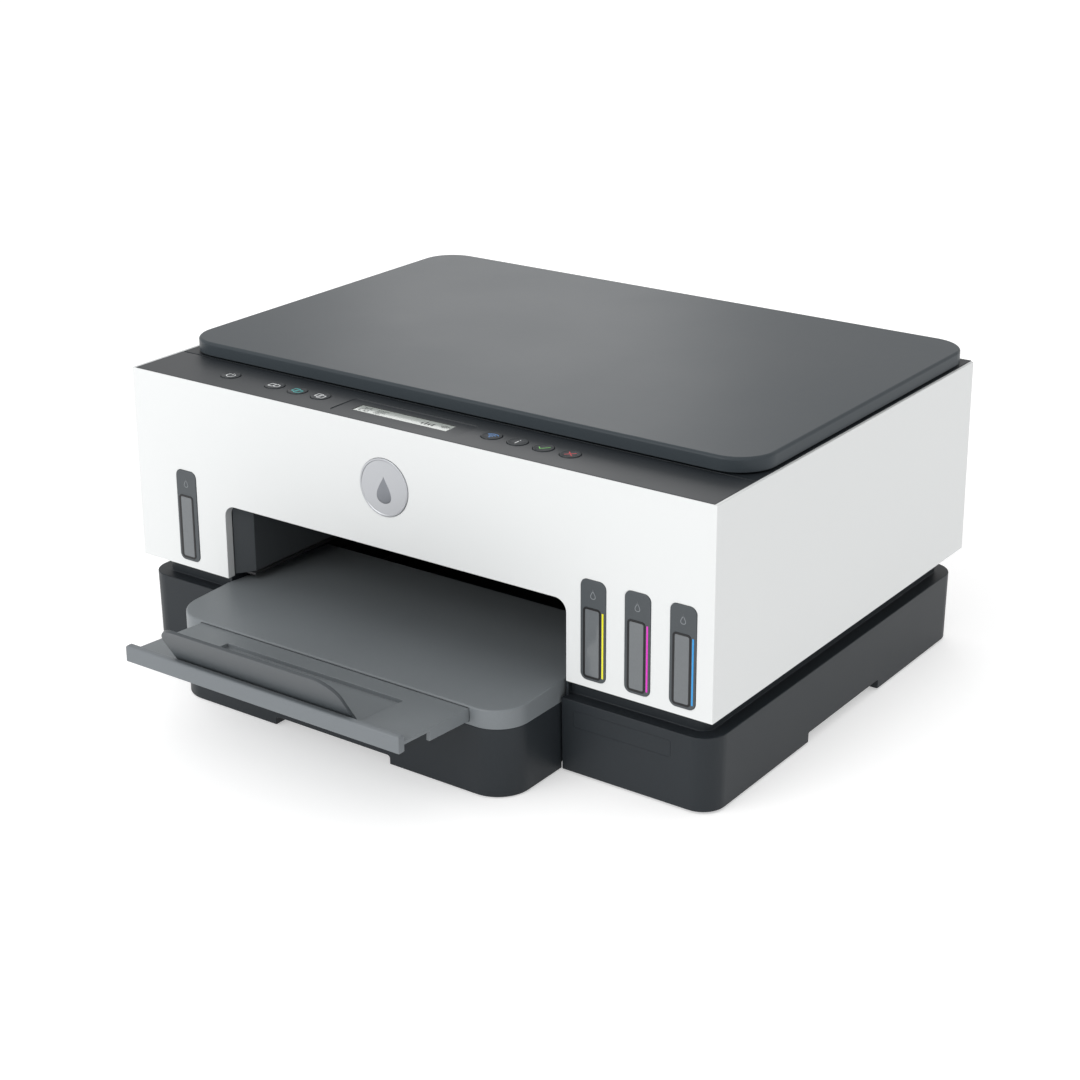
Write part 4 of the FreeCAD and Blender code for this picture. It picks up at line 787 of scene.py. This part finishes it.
# ribbed sleeves: the radius rises and falls as a cosine along the shaft, one rib to the mm
def makeRollers():
    for node, (places, half, radius) in rollers.items():
        centre = middle(node)
        along = np.linspace(-half, half, int(half * sleeve["stepsPerMm"]) + 1)
        height = radius + sleeve["thick"] + sleeve["rib"] * np.cos(along * 2 * math.pi)
        inner = radius - sleeve["sink"]
        profile = [(inner, -half), *zip(height, along), (inner, half)]
        skins = [turned(np.array(profile) * mm, (x * mm, centre.y, centre.z), "x", 40)
                 for x in places]
        addPiece(f"{node}_sleeves", meshOf(f"{node}_sleeves", skins),
                 frame["nodes"][node]["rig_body"], finish["rubber"])


belt = {"back": 0.5 * mm, "tooth": 1.1 * mm, "pitch": 2.0 * mm, "edge": 0.3,
        "stepsPerTooth": 6}


# toothed belt: a stadium path whose inner face is at the tooth's tip where a cosine is high
def makeBelt():
    low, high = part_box("carriage_belt")
    outer = (high.y - low.y) / 2
    straight = (high.x - low.x) / 2 - outer
    centre = (low + high) / 2
    length = 4 * straight + 2 * math.pi * outer
    count = int(round(length / belt["pitch"])) * belt["stepsPerTooth"]
    way = np.linspace(0, length, count, endpoint=False)
    arc = math.pi * outer
    onArc = [np.clip((way - start) / arc, 0, 1) * math.pi
             for start in (2 * straight, 4 * straight + arc)]
    turn = onArc[0] + onArc[1]
    run = np.clip(way, 0, 2 * straight) - np.clip(way - 2 * straight - arc, 0, 2 * straight)
    normal = np.stack([np.sin(turn), -np.cos(turn)], 1)
    path = np.stack([centre.x - straight + run, np.full(count, centre.y)], 1)
    tooth = np.cos(way / belt["pitch"] * 2 * math.pi) > belt["edge"]
    depth = np.where(tooth, outer - belt["tooth"], outer - belt["back"])
    back = path + normal * outer
    inside = path + normal * depth[:, None]
    grid = np.stack([np.column_stack([flat, np.full(count, z)])
                     for flat, z in ((back, low.z), (inside, low.z), (inside, high.z),
                                     (back, high.z))], 1)
    piece = addPiece("toothed_belt", meshOf("toothed_belt", [skin(grid, closedStack=True)]),
                     "chassis", finish["rubber"], smooth=False)
    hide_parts("carriage_belt")


inlet = {"side": 4.0 * mm, "radius": 1.3 * mm, "tip": 12.9 * mm, "root": 5.0 * mm,
         "domeShare": 0.97, "domeSteps": 6}


# plated pins: a straight barrel with a domed tip
def makePins():
    place, face = middle("power_inlet"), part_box("power_inlet")[0].y
    radius = inlet["radius"]
    dome = np.linspace(0, math.pi / 2 * inlet["domeShare"], inlet["domeSteps"])
    profile = [(nearAxis, inlet["root"]), (radius, inlet["root"])]
    profile += list(zip(radius * np.cos(dome), inlet["tip"] + radius * np.sin(dome)))
    skins = [turned([(r, face + y) for r, y in profile], (place.x + side, 0, place.z), "y", 32)
             for side in (-inlet["side"], inlet["side"])]
    addPiece("inlet_pins", meshOf("inlet_pins", skins), "chassis", finish["steel"])


screw = {
    "head": 3.0 * mm, "high": 2.0 * mm, "socket": 1.1 * mm, "socketEdge": 0.9 * mm,
    "socketFloor": 0.8 * mm,
    # dome: share of the head's radius, and height in mm
    "dome": ((1.0, 0.0), (1.0, 1.0), (0.85, 1.6), (0.6, 1.92)),
}


# screw heads: a turned dome round a hollow round socket
def makeScrews():
    low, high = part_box("case_screws")
    head, socketWide = screw["head"], screw["socket"]
    dome = [(head * share, height * mm) for share, height in screw["dome"]]
    profile = [(nearAxis, 0), *dome, (socketWide, screw["high"]),
               (socketWide, screw["socketEdge"]), (nearAxis, screw["socketFloor"])]
    skins = [turned(profile, (x, y, low.z), "z", 36) for x in (low.x + head, high.x - head)
             for y in (low.y + head, high.y - head)]
    heads = addPiece("screw_heads", meshOf("screw_heads", skins), "chassis",
                     finish["steel"])
    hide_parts("case_screws")


makeInk()
makeRollers()
makeBelt()
makePins()
makeScrews()
print("stage: inside details made")
